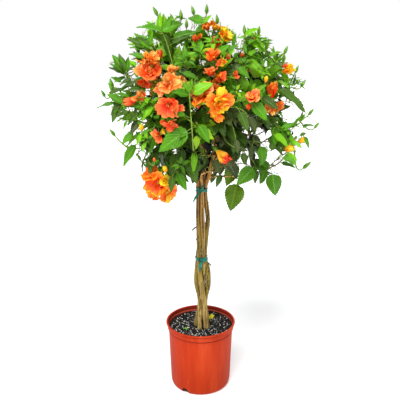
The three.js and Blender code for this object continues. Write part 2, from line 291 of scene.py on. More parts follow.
def leaf_green(name, blade, vein):
    """Glossy leaf: a plain green with a slow drift, a paler midrib and faint side veins along the blade."""
    paint = Paint(name, 0.42, 0.2)
    blade, vein = srgb(*blade), srgb(*vein)
    across = paint.uv(0)
    along = paint.uv(1)
    side = paint.math("ABSOLUTE", across - 0.5)
    rib = 1 - paint.ease(side, 0.015, 0.06)
    comb = paint.math("SINE", (along - side * 0.9) * 44.0)
    veins = paint.ease(comb, 0.5, 1.0) * 0.34
    drift = paint.noise(9.0, detail=2.0)
    deep = tuple(0.55 * c for c in blade[:3]) + (1.0,)
    base = paint.mix(paint.ease(drift, 0.35, 0.65), deep, blade)
    marks = paint.math("MAXIMUM", rib * 0.45, veins)
    paint.feed("Base Color", paint.mix(marks, base, vein))
    paint.bump(marks * -1.0 + drift * 0.2, 0.35, 0.0012)
    return paint.material


def petal(name, stops):
    """Silky petal: colour runs from the heart to the rim along the blade, with fine rays that wander."""
    paint = Paint(name, 0.5, 0.35)
    stops = [(place, srgb(*colour)) for place, *colour in stops]
    rays = paint.math("SINE", paint.uv(0) * 60.0)
    drift = paint.noise(38.0, detail=3.0)
    place = paint.uv(1) + (drift - 0.5) * 0.55 + rays * 0.02
    blade = paint.vector("MULTIPLY", paint.skin_place(), (7, 1.1, 1))
    blade = paint.vector("ADD", blade, paint.here((26, 26, 26)))
    streak = paint.node("ShaderNodeTexNoise", {}, {"Vector": blade, "Scale": 1.3, "Detail": 3.0}, "Fac")
    base = paint.mix((1 - paint.ease(streak, 0.34, 0.46)) * 0.7, paint.ramp(place, stops), stops[0][1])
    paint.feed("Base Color", paint.mix(paint.ease(streak, 0.55, 0.66) * 0.7, base, stops[-1][1]))
    paint.bump(rays * 0.3 + drift, 0.4, 0.0016)
    return paint.material


def floor_paint():
    """Pale floor with the faintest unevenness."""
    paint = Paint("pale_floor", 0.9, 0.1)
    paint.shader.inputs["Emission Color"].default_value = (1, 1, 1, 1)
    paint.shader.inputs["Emission Strength"].default_value = 0.42
    drift = paint.noise(1.5)
    paint.feed("Base Color", paint.mix(drift, (0.7, 0.7, 0.7, 1), (0.74, 0.74, 0.74, 1)))
    return paint.material


# Apart from olive, the leaf tones are lit and shaded copies of one green: painted light and shade dealt out by
# where a leaf stands, fresh also being the paler green of young tips.
LEAF_TONES = {  # blade and vein
    "fresh": ((162, 216, 12), (210, 236, 104)),
    "bright": ((116, 186, 8), (166, 218, 76)),
    "mid": ((82, 150, 12), (132, 188, 66)),
    "olive": ((104, 148, 14), (134, 172, 46)),
    "deep": ((70, 106, 26), (116, 148, 68)),
    "shade": ((66, 80, 36), (112, 126, 76)),
    "gloom": ((20, 32, 12), (38, 52, 22)),
}
PETAL_STOPS = {  # place along the petal, red, green, blue
    "coral": [(0.08, 206, 10, 2), (0.34, 250, 56, 12), (0.68, 255, 92, 24), (0.98, 255, 172, 88)],
    "orange": [(0.08, 220, 20, 0), (0.34, 255, 60, 0), (0.66, 255, 92, 2), (0.98, 255, 164, 24)],
    "scarlet": [(0.1, 206, 8, 2), (0.5, 252, 44, 10), (0.95, 255, 122, 50)],
    "peach": [(0.08, 236, 44, 10), (0.34, 255, 94, 20), (0.7, 255, 132, 36), (1.0, 255, 208, 104)],
    "yellow": [(0.05, 246, 86, 2), (0.3, 255, 168, 6), (0.8, 255, 214, 30)],
    "flame": [(0.1, 255, 200, 40), (0.6, 255, 190, 44), (0.8, 250, 58, 18), (1.0, 216, 14, 8)],
}
BARKS = {  # dark, pale, foot, lower, top, crease; the back stem's darker bark, which the boughs also wear, is painted shade for the stem behind the others
    "stem_left": (srgb(102, 84, 22), srgb(142, 118, 42), srgb(230, 200, 124), srgb(188, 158, 76), 0.45, 0.5),
    "stem_front": (srgb(132, 108, 40), srgb(184, 152, 76)),
    "stem_right": (srgb(110, 96, 12), srgb(152, 132, 38)),
    "stem_back": (srgb(76, 60, 22), srgb(110, 88, 36), srgb(178, 152, 92), srgb(142, 122, 38), 0.5),
}
FINISH = {
    "pot": pot_plastic(),
    "soil": speckled("potting_mix", srgb(5, 5, 5), srgb(22, 20, 18), 260.0, depth=0.003),
    "bark_chip": speckled("bark_chip", srgb(70, 54, 40), srgb(138, 116, 92), 320.0),
    "black_chip": speckled("black_chip", srgb(4, 4, 4), srgb(20, 19, 18), 320.0),
    "grey_chip": speckled("grey_chip", srgb(84, 92, 82), srgb(146, 154, 142), 320.0),
    "grit": speckled("pale_grit", srgb(176, 176, 168), srgb(240, 238, 232), 420.0),
    "twig": speckled("twig_bark", srgb(98, 72, 36), srgb(158, 122, 68), 150.0, 0.7, stretch=(1, 1, 0.4)),
    "stub": speckled("stub_bark", srgb(48, 54, 26), srgb(92, 92, 48), 150.0, 0.7),
    "shoot": speckled("green_shoot", srgb(96, 128, 34), srgb(146, 176, 66), 120.0, 0.5),
    "bud": speckled("bud_green", srgb(70, 128, 22), srgb(118, 168, 40), 120.0, 0.45),
    "ribbon": speckled("ribbon", srgb(0, 78, 66), srgb(4, 142, 120), 120.0, 0.4, 0.0006, (1, 1, 0.5)),
    "stamen": speckled("stamen", srgb(240, 170, 30), srgb(255, 226, 110), 300.0, 0.6),
    "petal_lemon": petal("petal_lemon", [(0.1, 206, 196, 10), (0.8, 246, 232, 24)]),
}
FINISH.update({f"bark_{name}": stem_bark(f"bark_{name}", *wood) for name, wood in BARKS.items()})
FINISH.update({tone: leaf_green(f"leaf_{tone}", *pair) for tone, pair in LEAF_TONES.items()})
FINISH.update({f"petal_{tint}": petal(f"petal_{tint}", stops) for tint, stops in PETAL_STOPS.items()})


# ---- mesh making

class Shape:
    """A growing mesh: blocks of vertices, faces, and one surface coordinate pair per vertex."""

    def __init__(self):
        self.points = []
        self.faces = []
        self.surface = []
        self.count = 0

    def add(self, points, faces, surface=None):
        """Adds a block; without surface coordinates it gets the middle of the surface throughout."""
        points = np.asarray(points, float).reshape(-1, 3)
        self.points.append(points)
        self.faces.append(np.asarray(faces) + self.count)
        self.surface.append(np.full((len(points), 2), 0.5) if surface is None else surface)
        self.count += len(points)

    def add_closed(self, skin, ends):
        """Adds rings of points as a closed tube: a fan from the first ring to the first end point, and one
        from the last ring to the second."""
        rings, sides = skin.shape[:2]
        index = np.arange(sides)
        after = (index + 1) % sides
        end = rings * sides
        low = np.stack([np.full(sides, end), after, index], 1)
        high = np.stack([np.full(sides, end + 1), end - sides + index, end - sides + after], 1)
        base = self.count
        self.add(np.concatenate([skin.reshape(-1, 3), ends]), grid(rings, sides, closed=True))
        self.faces.extend([low + base, high + base])


def put(name, shape, finish, replaced=()):
    """Makes a piece of a Shape, rides it on the plant and hides the imported parts that it replaces."""
    points = np.concatenate(shape.points)
    surface = np.concatenate(shape.surface)
    corners = np.concatenate([faces.ravel() for faces in shape.faces])
    sizes = np.concatenate([np.full(len(faces), faces.shape[1]) for faces in shape.faces])
    mesh = bpy.data.meshes.new(name)
    mesh.vertices.add(len(points))
    mesh.vertices.foreach_set("co", points.ravel())
    mesh.loops.add(len(corners))
    mesh.loops.foreach_set("vertex_index", corners)
    mesh.polygons.add(len(sizes))
    mesh.polygons.foreach_set("loop_start", np.concatenate([[0], np.cumsum(sizes)[:-1]]))
    mesh.polygons.foreach_set("use_smooth", np.ones(len(sizes), bool))
    mesh.update(calc_edges=True)
    mesh.uv_layers.new(name="surface").data.foreach_set("uv", surface[corners].ravel())
    mesh.materials.append(FINISH[finish])
    piece = bpy.data.objects.new(name, mesh)
    bpy.context.scene.collection.objects.link(piece)
    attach(piece, "root")
    if replaced:
        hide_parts(*replaced)
    return piece


def grid(rows, columns, closed=False):
    """Four-cornered faces of a rows by columns grid of vertices, its columns joined round when closed."""
    row, column = np.meshgrid(np.arange(rows - 1), np.arange(columns - (not closed)), indexing="ij")
    here = row * columns + column
    beside = row * columns + (column + 1) % columns
    return np.stack([here, beside, beside + columns, here + columns], -1).reshape(-1, 4)


def unit(v):
    """Vectors brought to length 1."""
    v = np.asarray(v, float)
    return v / np.maximum(np.linalg.norm(v, axis=-1, keepdims=True), 1e-12)


def frames(path):
    """Two sideways directions for each point of a path, carried along it with the least twist."""
    along = unit(np.gradient(path, axis=0))
    spare = UP if abs(along[0] @ UP) < 0.9 else np.array([0.0, 1.0, 0.0])
    side = [unit(np.cross(along[0], spare))]
    for direction in along[1:]:
        side.append(unit(side[-1] - (side[-1] @ direction) * direction))
    side = np.array(side)
    return side, np.cross(along, side)


def tube(shape, path, radius, sides, relief=None):
    """A skin round a path: each ring is a circle of the given radius plus the relief, an array of rings by
    sides, with a point at either end that closes it."""
    path = np.asarray(path, float)
    side, other = frames(path)
    angle = np.arange(sides) * TURN / sides
    reach = np.broadcast_to(np.asarray(radius, float).reshape(-1, 1), (len(path), sides))
    if relief is not None:
        reach = reach + relief
    ring = np.cos(angle)[:, None] * side[:, None] + np.sin(angle)[:, None] * other[:, None]
    shape.add_closed(path[:, None] + reach[..., None] * ring, path[[0, -1]])


def scatter(shape, template, places, axes, surface=None):
    """Copies of a template (points, faces), each at its place with its own three axes as matrix columns."""
    points, faces = template
    copies = len(places)
    if copies == 0:
        return
    spread = np.einsum("kij,vj->kvi", axes, points) + np.asarray(places)[:, None]
    shift = np.arange(copies)[:, None, None] * len(points)
    coordinates = None if surface is None else np.tile(surface, (copies, 1))
    shape.add(spread, (faces[None] + shift).reshape(-1, faces.shape[1]), coordinates)


def axes_from(along, facing):
    """Matrices whose columns are across, along and facing, squared up."""
    along = unit(along)
    across = unit(np.cross(along, facing))
    return np.stack([across, along, np.cross(across, along)], -1)


def curve(start, middle, end, count):
    """Points of a parabola drawn towards a middle point."""
    t = np.linspace(0, 1, count)[:, None]
    return (1 - t) ** 2 * start + 2 * t * (1 - t) * middle + t**2 * end


def smooth(path, rounds):
    """Moves each inner point of a path, in place, to the mean of itself, twice, and its two neighbours."""
    for _ in range(rounds):
        path[1:-1] = (path[:-2] + 2 * path[1:-1] + path[2:]) / 4


def eased(points, count, rounds):
    """A path of count points through the given ones, its corners rounded off."""
    points = np.array(points)
    t = np.linspace(0, len(points) - 1, count)
    path = np.stack([np.interp(t, np.arange(len(points)), points[:, i]) for i in range(3)], 1)
    smooth(path, rounds)
    return path


def bell(x, middle, spread):
    """A bell curve of height 1 about a middle."""
    return np.exp(-(((x - middle) / spread) ** 2))


def waves(points, scale, seed, count=6):
    """Smooth lumps from -1 to 1: a mean of sine waves that run in seeded directions."""
    draw = np.random.default_rng(seed)
    runs = unit(draw.normal(size=(count, 3))) * scale * draw.uniform(0.6, 1.6, (count, 1))
    return np.sin(points @ runs.T + draw.uniform(0, TURN, count)).mean(-1) * 1.6


# ---- camera, light, floor

FRAME_WIDTH = 400  # places in the view are counted across and down from its upper left, of this many
MIDDLE = FRAME_WIDTH / 2
FOCAL = 597.4 / FRAME_WIDTH  # in frame widths
CAMERA_AT = np.array([-0.002, -2.0, 1.295])
CAMERA_DOWN = math.radians(16.24)
AHEAD = np.array([0, math.cos(CAMERA_DOWN), -math.sin(CAMERA_DOWN)])
ABOVE = np.array([0, math.sin(CAMERA_DOWN), math.cos(CAMERA_DOWN)])
RIGHT = np.array([1.0, 0, 0])
SENSOR = 36
LAMPS = (("key", (-0.35, -0.8, 1.3), 30, 3.5), ("back", (0.6, 1, 0.8), 60, 0.5))
FLOOR_RADIUS = 12
FLOOR_SIDES = 64


def set_camera():
    """A camera that looks along +Y and down."""
    lens = bpy.data.cameras.new("camera")
    lens.sensor_width = SENSOR
    lens.lens = SENSOR * FOCAL
    camera = bpy.data.objects.new("camera", lens)
    camera.location = CAMERA_AT
    camera.rotation_euler = (math.pi / 2 - CAMERA_DOWN, 0, 0)
    bpy.context.scene.collection.objects.link(camera)
    bpy.context.scene.camera = camera


def set_lamps():
    """Two soft suns, each given by the direction that it shines from, its breadth in degrees and its power."""
    for name, direction, spread, power in LAMPS:
        lamp = bpy.data.lights.new(name, "SUN")
        lamp.angle = math.radians(spread)
        lamp.energy = power
        holder = bpy.data.objects.new(name, lamp)
        holder.rotation_euler = Vector(direction).to_track_quat("Z", "Y").to_euler()
        bpy.context.scene.collection.objects.link(holder)


def set_surroundings():
    """White surroundings in front and behind that grow darker to the sides and overhead."""
    world = bpy.data.worlds.new("studio")
    world.use_nodes = True
    bpy.context.scene.world = world
    sky = Nodes(world.node_tree)
    direction = sky.node("ShaderNodeTexCoord", {}, {}, "Generated")
    rise = sky.part(direction, 2)
    aside = sky.math("ABSOLUTE", sky.part(direction, 0))
    level = sky.mix(sky.ease(aside, 0.35, 0.95), (1.0, 1.0, 1.0, 1), (0.42, 0.42, 0.42, 1))
    tone = sky.mix(sky.ease(rise, 0.12, 0.8), level, (0.36, 0.37, 0.38, 1))
    world.node_tree.links.new(tone.socket, world.node_tree.nodes["Background"].inputs[0])
    bpy.context.scene.view_settings.view_transform = "Standard"


def lay_floor():
    """A wide pale disc."""
    mesh = bpy.data.meshes.new("floor")
    angle = np.arange(FLOOR_SIDES) * TURN / FLOOR_SIDES
    rim = np.stack([FLOOR_RADIUS * np.cos(angle), FLOOR_RADIUS * np.sin(angle), 0 * angle], 1)
    mesh.from_pydata(rim.tolist(), [], [list(range(FLOOR_SIDES))])
    mesh.materials.append(floor_paint())
    floor = bpy.data.objects.new("floor", mesh)
    bpy.context.scene.collection.objects.link(floor)


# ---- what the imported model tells

def solid(name):
    """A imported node's vertices, doubles merged, and the triangles on them."""
    mesh = nodes[name].data
    points = np.empty(len(mesh.vertices) * 3, np.float32)
    mesh.vertices.foreach_get("co", points)
    points = points.reshape(-1, 3).astype(float)
    corners = np.array([p.vertices[:] for p in mesh.polygons])
    _, first, place = np.unique(np.round(points, 5), axis=0, return_index=True, return_inverse=True)
    return points[first], place.ravel()[corners]


def rings_of(name, sides, along=None):
    """Centres and radii of a limb's rings: its vertices sorted along it and taken ring by ring, the first and
    the last with the middle point that closes it."""
    points, _ = solid(name)
    if along is None:
        spread = points - points.mean(0)
        along = np.linalg.svd(spread, full_matrices=False)[2][0]
    order = points[np.argsort(points @ along)]
    size = sides + 1
    inner = order[size:-size].reshape(-1, sides, 3)
    rings = [order[:size], *inner, order[-size:]]
    centres = np.array([ring.mean(0) for ring in rings])
    radii = np.array([np.linalg.norm(ring - ring.mean(0), axis=1).max() for ring in rings])
    return centres, radii


STEM_NAMES = ["stem_left", "stem_front", "stem_right", "stem_back"]
BOUGH_NAMES = sorted(name for name in nodes if name.startswith("bough_"))
MASS_NAMES = sorted(name for name in nodes if name.startswith(("crown_", "drooping_")))
STEM_SIDES = 7
BOUGH_SIDES = 6
HEAD = np.array([0.016, 0.0, 1.052])  # middle of the head
HEAD_HALF = [0.33, 0.31, 0.29]  # half its size along each axis
HEAD_LEVEL = 1.05  # height of its widest part


def gather_masses():
    """All foliage masses as one search tree, and their lowest and highest corners."""
    points, faces, filled = [], [], 0
    for name in MASS_NAMES:
        some, corners = solid(name)
        points.append(some)
        faces.append(corners + filled)
        filled += len(some)
    points = np.concatenate(points)
    return BVHTree.FromPolygons(points.tolist(), np.concatenate(faces).tolist()), points.min(0), points.max(0)


def at_height(path, height):
    """Where a limb's middle line is at a height, or at each of several, across and back."""
    return np.stack([np.interp(height, path[:, 2], path[:, i]) for i in range(2)], -1)


stems = {name: rings_of(name, STEM_SIDES, UP) for name in STEM_NAMES}
masses, masses_low, masses_high = gather_masses()
HAIR = 2e-5  # step past a surface that a ray has met


def level_of(place):
    """How high in the head a place is, from -1 at its foot to 1 at its top."""
    return (place[2] - HEAD_LEVEL) / HEAD_HALF[2]


def inside(point):
    """Whether a point is in a foliage mass: an upward ray leaves through an odd number of faces."""
    origin, crossed = Vector(point), 0
    while True:
        met = masses.ray_cast(origin, Vector((0, 0, 1)))[0]
        if met is None:
            return crossed % 2 == 1
        crossed += 1
        origin = met + Vector((0, 0, HAIR))


def beyond(point):
    """How far a point stands outside the foliage masses, 0 inside one."""
    return 0.0 if inside(point) else masses.find_nearest(Vector(point))[3]


FOREMOST = -0.315  # the plane at the front of the head, which no placed foot passes
HEAD_SEEN = (203, 105)  # middle of the head in the view


def shown(points):
    """Where points stand in the view, as (across, down) pairs."""
    apart = np.asarray(points) - CAMERA_AT
    depth = (apart @ AHEAD)[..., None]
    return MIDDLE + FRAME_WIDTH * FOCAL * np.stack([apart @ RIGHT, -(apart @ ABOVE)], -1) / depth


def sight(across, down):
    """The direction from the camera through a point of the view."""
    right, up = (across - MIDDLE) / FRAME_WIDTH, (MIDDLE - down) / FRAME_WIDTH
    return unit(AHEAD + RIGHT * right / FOCAL + ABOVE * up / FOCAL)


def on_plane(across, down, y):
    """The place seen at a point of the view on the upright plane at y."""
    ray = sight(across, down)
    return CAMERA_AT + ray * ((y - CAMERA_AT[1]) / ray[1])


def spot(across, down, out=0.012):
    """The place seen at a point of the view: where that line of sight meets the foliage, a little nearer than
    that. Past the foliage's edge it is as deep as the first foliage met on the way to the head's middle."""
    for share in np.linspace(0, 0.6, 61):
        way = sight(across + share * (HEAD_SEEN[0] - across), down + share * (HEAD_SEEN[1] - down))
        met = masses.ray_cast(Vector(CAMERA_AT), Vector(way))[0]
        if met is not None:
            break
    return on_plane(across, down, max(met[1] - out * way[1], FOREMOST))


def heading(angle, lean):
    """A direction given as an angle in the view, anticlockwise from its right, and how much it leans towards
    the viewer, 0 to 1."""
    turned = math.radians(angle)
    flat = math.sqrt(1 - lean * lean)
    return unit(flat * (math.cos(turned) * RIGHT + math.sin(turned) * ABOVE) - lean * AHEAD)


# The head's outline in the view, and the openings in it: their middles and half sizes.
OUTLINE = np.array([
    (107, 95), (106.5, 83), (107.5, 69), (111, 51.5), (127, 52), (127.5, 37), (137, 24), (156, 25), (159, 12),
    (170, 14), (182, 12), (188, 22), (194, 14), (203, 14.5), (213, 14.5), (222, 23), (232.5, 26), (241, 38),
    (242, 28), (259, 26.5), (260.5, 35), (264, 38.5), (272.5, 38.5), (273, 43), (273, 49.5), (283, 50),
    (286, 47), (286, 56), (288, 64), (297, 69), (304.5, 80.5), (300, 89), (299, 103), (292.5, 106),
    (310, 112), (319, 123), (309, 128), (309.5, 148), (296.5, 164), (281.5, 169), (283, 185), (266, 183),
    (252, 184), (237, 185), (225, 178), (217, 187), (209, 182), (195.5, 182), (187, 191.5), (178, 184.5),
    (174, 190), (170, 200), (159, 199), (141.5, 178), (139.5, 165), (123, 166), (128, 152), (121, 143),
    (126, 132), (112, 124), (110, 107),
])
OPENINGS = np.array([
    (190, 30, 2.2, 4), (291.5, 113, 5, 4.5), (295, 118, 4, 3), (241.5, 164, 4, 3), (271.5, 61, 2, 2),
    (138.5, 120, 2.5, 3), (131.5, 110.5, 2.5, 2), (144.5, 124, 1.6, 2), (132.5, 133, 2.5, 2),
    (237.5, 48.5, 3.8, 5), (219.5, 52.5, 1.6, 2.4), (257, 53, 1.6, 1.6), (203.5, 63, 2, 2),
    (180.5, 47.5, 4, 3.2), (132, 75, 4.5, 4), (132, 91, 2, 2.5), (264.5, 131.5, 4.6, 2.4), (262, 136, 2, 3.2),
    (264.5, 145, 2.2, 4.5), (254.5, 134, 1.1, 5), (246.5, 153, 2.2, 2.6), (194.5, 27, 1.8, 2.8),
    (296.5, 131, 4.6, 3), (275, 157, 5.5, 5.5), (286, 118, 3.5, 3), (225, 171, 1.5, 2.5),
    (203.5, 157, 1.5, 4), (291, 170, 10, 5), (279.5, 171.5, 5, 2.5), (142, 153, 2.5, 2.5), (154, 40, 2, 2),
    (118, 86, 3, 2.5), (167, 62, 2, 2), (149.5, 94, 5, 3), (142, 29.5, 4, 3), (115.5, 121.5, 3, 2.5),
    (283.5, 100, 3, 3), (285, 86, 3, 2.2), (268, 64.5, 0.9, 2.2), (273.5, 70, 0.9, 2.6), (297, 76, 2, 3),
    (238.5, 41, 2, 4), (183, 28, 2, 4), (302, 121, 4, 3), (291, 54, 6, 2.5), (228, 26, 3, 4),
])

# Windows that no leaf stands in front of, where the stems part and a side twig leaves them: their middles and
# half sizes.
FORK = np.array([[(209, 172), (3.6, 18)], [(204.5, 184.5), (9, 8)], [(226, 175.5), (13, 2)]])


def within_outline(points):
    """Whether points of the view lie in the outline: a level line from each crosses it oddly often."""
    across, down = points[..., 0, None], points[..., 1, None]
    x, y = OUTLINE.T
    x2, y2 = np.roll(OUTLINE, -1, 0).T
    level = (y > down) != (y2 > down)
    rise = np.where(y2 == y, 1, y2 - y)
    return (level & (across < (x2 - x) * (down - y) / rise + x)).sum(-1) % 2 == 1


def in_opening(points):
    """Whether points of the view lie in an opening, each an ellipse."""
    gap = (points[..., None, :] - OPENINGS[:, :2]) / OPENINGS[:, 2:]
    return ((gap**2).sum(-1) < 1).any(-1)


# ---- pot and potting mix

def rounded(profile):
    """A profile of (radius, height, rounding) corners, each rounding drawn as a parabola across it."""
    corners = np.array([corner[:2] for corner in profile])
    out = []
    for i, (_, _, size) in enumerate(profile):
        here = corners[i]
        if size == 0 or i in (0, len(profile) - 1):
            out.append(here[None])
            continue
        back, on = corners[i - 1] - here, corners[i + 1] - here
        start = here + back * min(size / np.linalg.norm(back), 0.48)
        end = here + on * min(size / np.linalg.norm(on), 0.48)
        out.append(curve(start, here, end, 5))
    return np.concatenate(out)


def lathe(shape, profile, sectors, shift=None):
    """A profile of (radius, height) pairs turned about +Z and closed on the axis at both ends, with a lift
    of its points given by shift(points)."""
    angle = np.arange(sectors) * TURN / sectors
    radius, height = profile[1:-1].T
    skin = np.stack([
        radius[:, None] * np.cos(angle), radius[:, None] * np.sin(angle),
        np.broadcast_to(height[:, None], (len(height), sectors))], -1)
    if shift is not None:
        skin[..., 2] += shift(skin)
    ends = np.array([[0, 0, profile[0][1]], [0, 0, skin[-1].mean(0)[2]]])
    shape.add_closed(skin, ends)


# The pot's section in millimetres, from the middle of its underside round the lip to the middle of its floor.
POT_PROFILE = [
    (0, 2.2, 0), (60, 2.2, 3), (84, 2, 3), (88, 0, 1.5), (97, 0, 4), (106, 2.6, 7), (110.3, 15, 6),
    (113.8, 110, 0), (117.2, 214, 0.6), (118.9, 216, 0.8), (118.9, 219.5, 0.6), (117.8, 220.5, 0.4),
    (118.2, 222.5, 0.4), (121.4, 225, 1), (121.9, 242.5, 1), (125.6, 243.4, 1.2), (127, 245.4, 1.6),
    (126.8, 249, 1.8), (124, 250, 1.4), (120.6, 249, 1.4), (119.6, 243, 1), (119, 226, 2), (115.6, 221, 2),
    (114.6, 190, 0), (108.2, 15, 6), (104, 5, 5), (97, 3.2, 2), (0, 3.2, 0),
]
POT_SECTORS = 180
DRAINS = [math.radians(a) for a in (-121, -11, 119)]
DRAIN_FROM_AXIS, DRAIN_HEIGHT, DRAIN_RADIUS, DRAIN_TILT = 0.104, 0.011, 0.0132, 0.56
SHARP = math.radians(50)


def make_pot():
    """The turned section, with three round drain holes bored through the foot's rounded edge."""
    shape = Shape()
    lathe(shape, rounded(np.array(POT_PROFILE) / 1000), POT_SECTORS)
    piece = put("nursery_pot", shape, "pot", ["pot"])
    for i, angle in enumerate(DRAINS):
        cutter = Shape()
        out = np.array([math.cos(angle), math.sin(angle), 0])
        aim = unit(out * math.cos(DRAIN_TILT) - UP * math.sin(DRAIN_TILT))
        centre = out * DRAIN_FROM_AXIS + UP * DRAIN_HEIGHT
        tube(cutter, np.linspace(centre - aim * 0.018, centre + aim * 0.03, 4), np.full(4, DRAIN_RADIUS), 28)
        hole = put(f"drain_{i}", cutter, "pot")
        cut = piece.modifiers.new(f"drain_{i}", "BOOLEAN")
        cut.operation = "DIFFERENCE"
        cut.solver = "EXACT"
        cut.object = hole
    bpy.context.view_layer.update()
    bored = bpy.data.meshes.new_from_object(piece.evaluated_get(bpy.context.evaluated_depsgraph_get()))
    piece.modifiers.clear()
    piece.data = bored
    bored.polygons.foreach_set("use_smooth", np.ones(len(bored.polygons), bool))
    sharp = piece.modifiers.new("edges", "EDGE_SPLIT")
    sharp.split_angle = SHARP
    for i in range(len(DRAINS)):
        bpy.data.objects.remove(bpy.data.objects[f"drain_{i}"])


MIX_EDGE = 0.1155
MIX_TOP = 0.225


def mix_height(points):
    """Height of the potting mix: highest at the wall and behind on the right, with lumps and small dips."""
    x, y = points[..., 0], points[..., 1]
    r = np.hypot(x, y)
    slope = 0.006 * (r / MIX_EDGE) ** 2 + 0.003 * (x + y) / MIX_EDGE
    flat = np.stack([x, y, 0 * x], -1)
    lumps = 0.0016 * waves(flat, 180, 5) + 0.0012 * waves(flat, 520, 6, 10)
    collar = 0.002 * np.exp(-(((x - 0.006) ** 2 + (y + 0.01) ** 2) / 0.05**2))  # round the stems
    return slope + lumps * np.clip((MIX_EDGE - r) / 0.006, 0.15, 1) + collar - 0.002


MIX_SIDES = [(0, 0.0037), (0.0975, 0.0037), (0.103, 0.0056), (0.1076, 0.0155), (0.1145, 0.205)]
MIX_SECTORS = 150
# Loose bits on the mix: piece, finish, how many, and their least and greatest size.
CHIPS = [
    ("bark_chips", "bark_chip", 300, 0.0022, 0.0055), ("black_chips", "black_chip", 1900, 0.003, 0.009),
    ("grey_chips", "grey_chip", 200, 0.002, 0.005), ("pale_grit", "grit", 380, 0.0022, 0.0056),
]


def make_mix():
    """The mix turned to fill the pot, its top lifted by mix_height."""
    shape = Shape()
    top = [(r, MIX_TOP) for r in np.linspace(MIX_EDGE, 0.0015, 52)]
    profile = np.array([*MIX_SIDES, *top, (0, MIX_TOP)])
    lathe(shape, profile, MIX_SECTORS, lambda skin: np.where(skin[..., 2] == MIX_TOP, mix_height(skin), 0))
    put("potting_mix_bed", shape, "soil", ["potting_mix"])


def strew_chips():
    """Blocks narrower at the top, strewn evenly over the mix and lying nearly flat on it."""
    draw = np.random.default_rng(31)
    block = np.array([[x, y, z] for x in (-1, 1) for y in (-1, 1) for z in (-1, 1)], float) * 0.5
    block *= 1 - 0.35 * (block[:, 2:] > 0)
    faces = np.array([[0, 1, 3, 2], [4, 6, 7, 5], [0, 4, 5, 1], [2, 3, 7, 6], [0, 2, 6, 4], [1, 5, 7, 3]])
    for name, finish, count, low, high in CHIPS:
        radius = np.sqrt(draw.uniform(0, 1, count)) * (MIX_EDGE - 0.006)
        angle = draw.uniform(0, TURN, count)
        places = np.stack([radius * np.cos(angle), radius * np.sin(angle), 0 * angle], 1)
        places[:, 2] = MIX_TOP + mix_height(places) + (0.0018 if name == "pale_grit" else 0.0008)
        along = unit(draw.normal(size=(count, 3)) * [1, 1, 0.35])
        axes = axes_from(along, unit(draw.normal(size=(count, 3)) * 0.4 + UP))
        size = draw.uniform(low, high, (count, 1)) * draw.uniform([0.4, 0.8, 0.3], [0.8, 1.3, 0.6], (count, 3))
        chips = Shape()
        scatter(chips, (block, faces), places, axes * size[:, None, :])
        put(name, chips, finish)


# ---- stems and boughs

# How much further forward and slimmer each stem's foot is than its node's.
FOOT_FORWARD = [0.0, 0.011, 0.023, 0.0]
FOOT_SLIMMER = [0.0028, 0.0028, 0.0044, 0.0028]
ABOVE_TIES = 0.772
BOW_HEIGHT, PARTING_HEIGHT, STOUT_HEIGHT = 0.797, 0.835, 0.555


def stem_run(number):
    """A stem's middle line and radius: its node's ring centres, smoothed, stepping forward and slimmer at the
    foot, a little stouter halfway up, the left and front stems slimmer above the upper tie, and the right stem
    bowed out where it leaves the rest."""
    centres, radii = stems[STEM_NAMES[number]]
    height = np.linspace(centres[0, 2] - 0.004, centres[-1, 2], 300)
    path = np.concatenate([at_height(centres, height), height[:, None]], 1)
    smooth(path[:, :2], 6)
    path[:, 1] -= FOOT_FORWARD[number] * np.clip((0.33 - height) / 0.104, 0, 1.1) ** 1.4
    radius = np.interp(height, centres[:, 2], radii) + 0.0002
    if STEM_NAMES[number] == "stem_right":
        parting = bell(height, PARTING_HEIGHT, 0.03)
        path[:, 0] += 0.0045 * bell(height, BOW_HEIGHT, 0.022) + 0.0022 * parting
        radius = radius * (1 + 0.14 * parting)
    radius = radius - FOOT_SLIMMER[number] * np.clip((0.262 - height) / 0.035, 0, 1)
    if STEM_NAMES[number] in ("stem_left", "stem_front"):
        radius = radius * (1 - 0.32 * np.clip((height - ABOVE_TIES) / 0.03, 0, 1))
    return path, radius + 0.0009 * bell(height, STOUT_HEIGHT, 0.05)


SCARS = 16
BARK_SIDES = 26
NEAR = 0.008  # gap past which another stem no longer adds painted shade to the bark


def make_stems():
    """Each braided stem, a little stouter than the solid so that the stems lean on each other, with upright
    ridges, leaf scars and knots in the skin. The second surface coordinate is how far the skin is from the
    other stems, so that shade is painted on the bark between them."""
    runs = [stem_run(number) for number in range(len(STEM_NAMES))]
    for number, name in enumerate(STEM_NAMES):
        path, radius = runs[number]
        height = path[:, 2]
        draw = np.random.default_rng(50 + number)
        angle = np.arange(BARK_SIDES) * TURN / BARK_SIDES
        twist = angle + 3.0 * (height[:, None] - 0.2) * (1 if number % 2 else -1)
        relief = 0.00035 * np.sin(5 * twist + number) + 0.00022 * np.sin(11 * twist)
        relief = relief + 0.0004 * waves(path, 90, 70 + number)[:, None]
        for _ in range(SCARS):
            scar, side = draw.uniform(height[0] + 0.02, height[-1]), draw.uniform(0, TURN)
            size = draw.uniform(0.0006, 0.0016)
            near = bell(height, scar, draw.uniform(0.004, 0.008))[:, None]
            relief = relief + size * near * np.exp(-((1 - np.cos(angle - side)) / 0.4))
        shape = Shape()
        tube(shape, path, radius, BARK_SIDES, relief)
        skin = shape.points[0]
        gap = np.full(len(skin), 1.0)
        for their_path, their_radius in (run for k, run in enumerate(runs) if k != number):
            apart = np.linalg.norm(skin[:, :2] - at_height(their_path, skin[:, 2]), axis=1)
            gap = np.minimum(gap, apart - np.interp(skin[:, 2], their_path[:, 2], their_radius))
        shape.surface[0] = np.stack([np.full(len(skin), 0.5), np.clip(gap / NEAR, 0, 1)], 1)
        put(f"{name}_bark", shape, f"bark_{name}", [name])


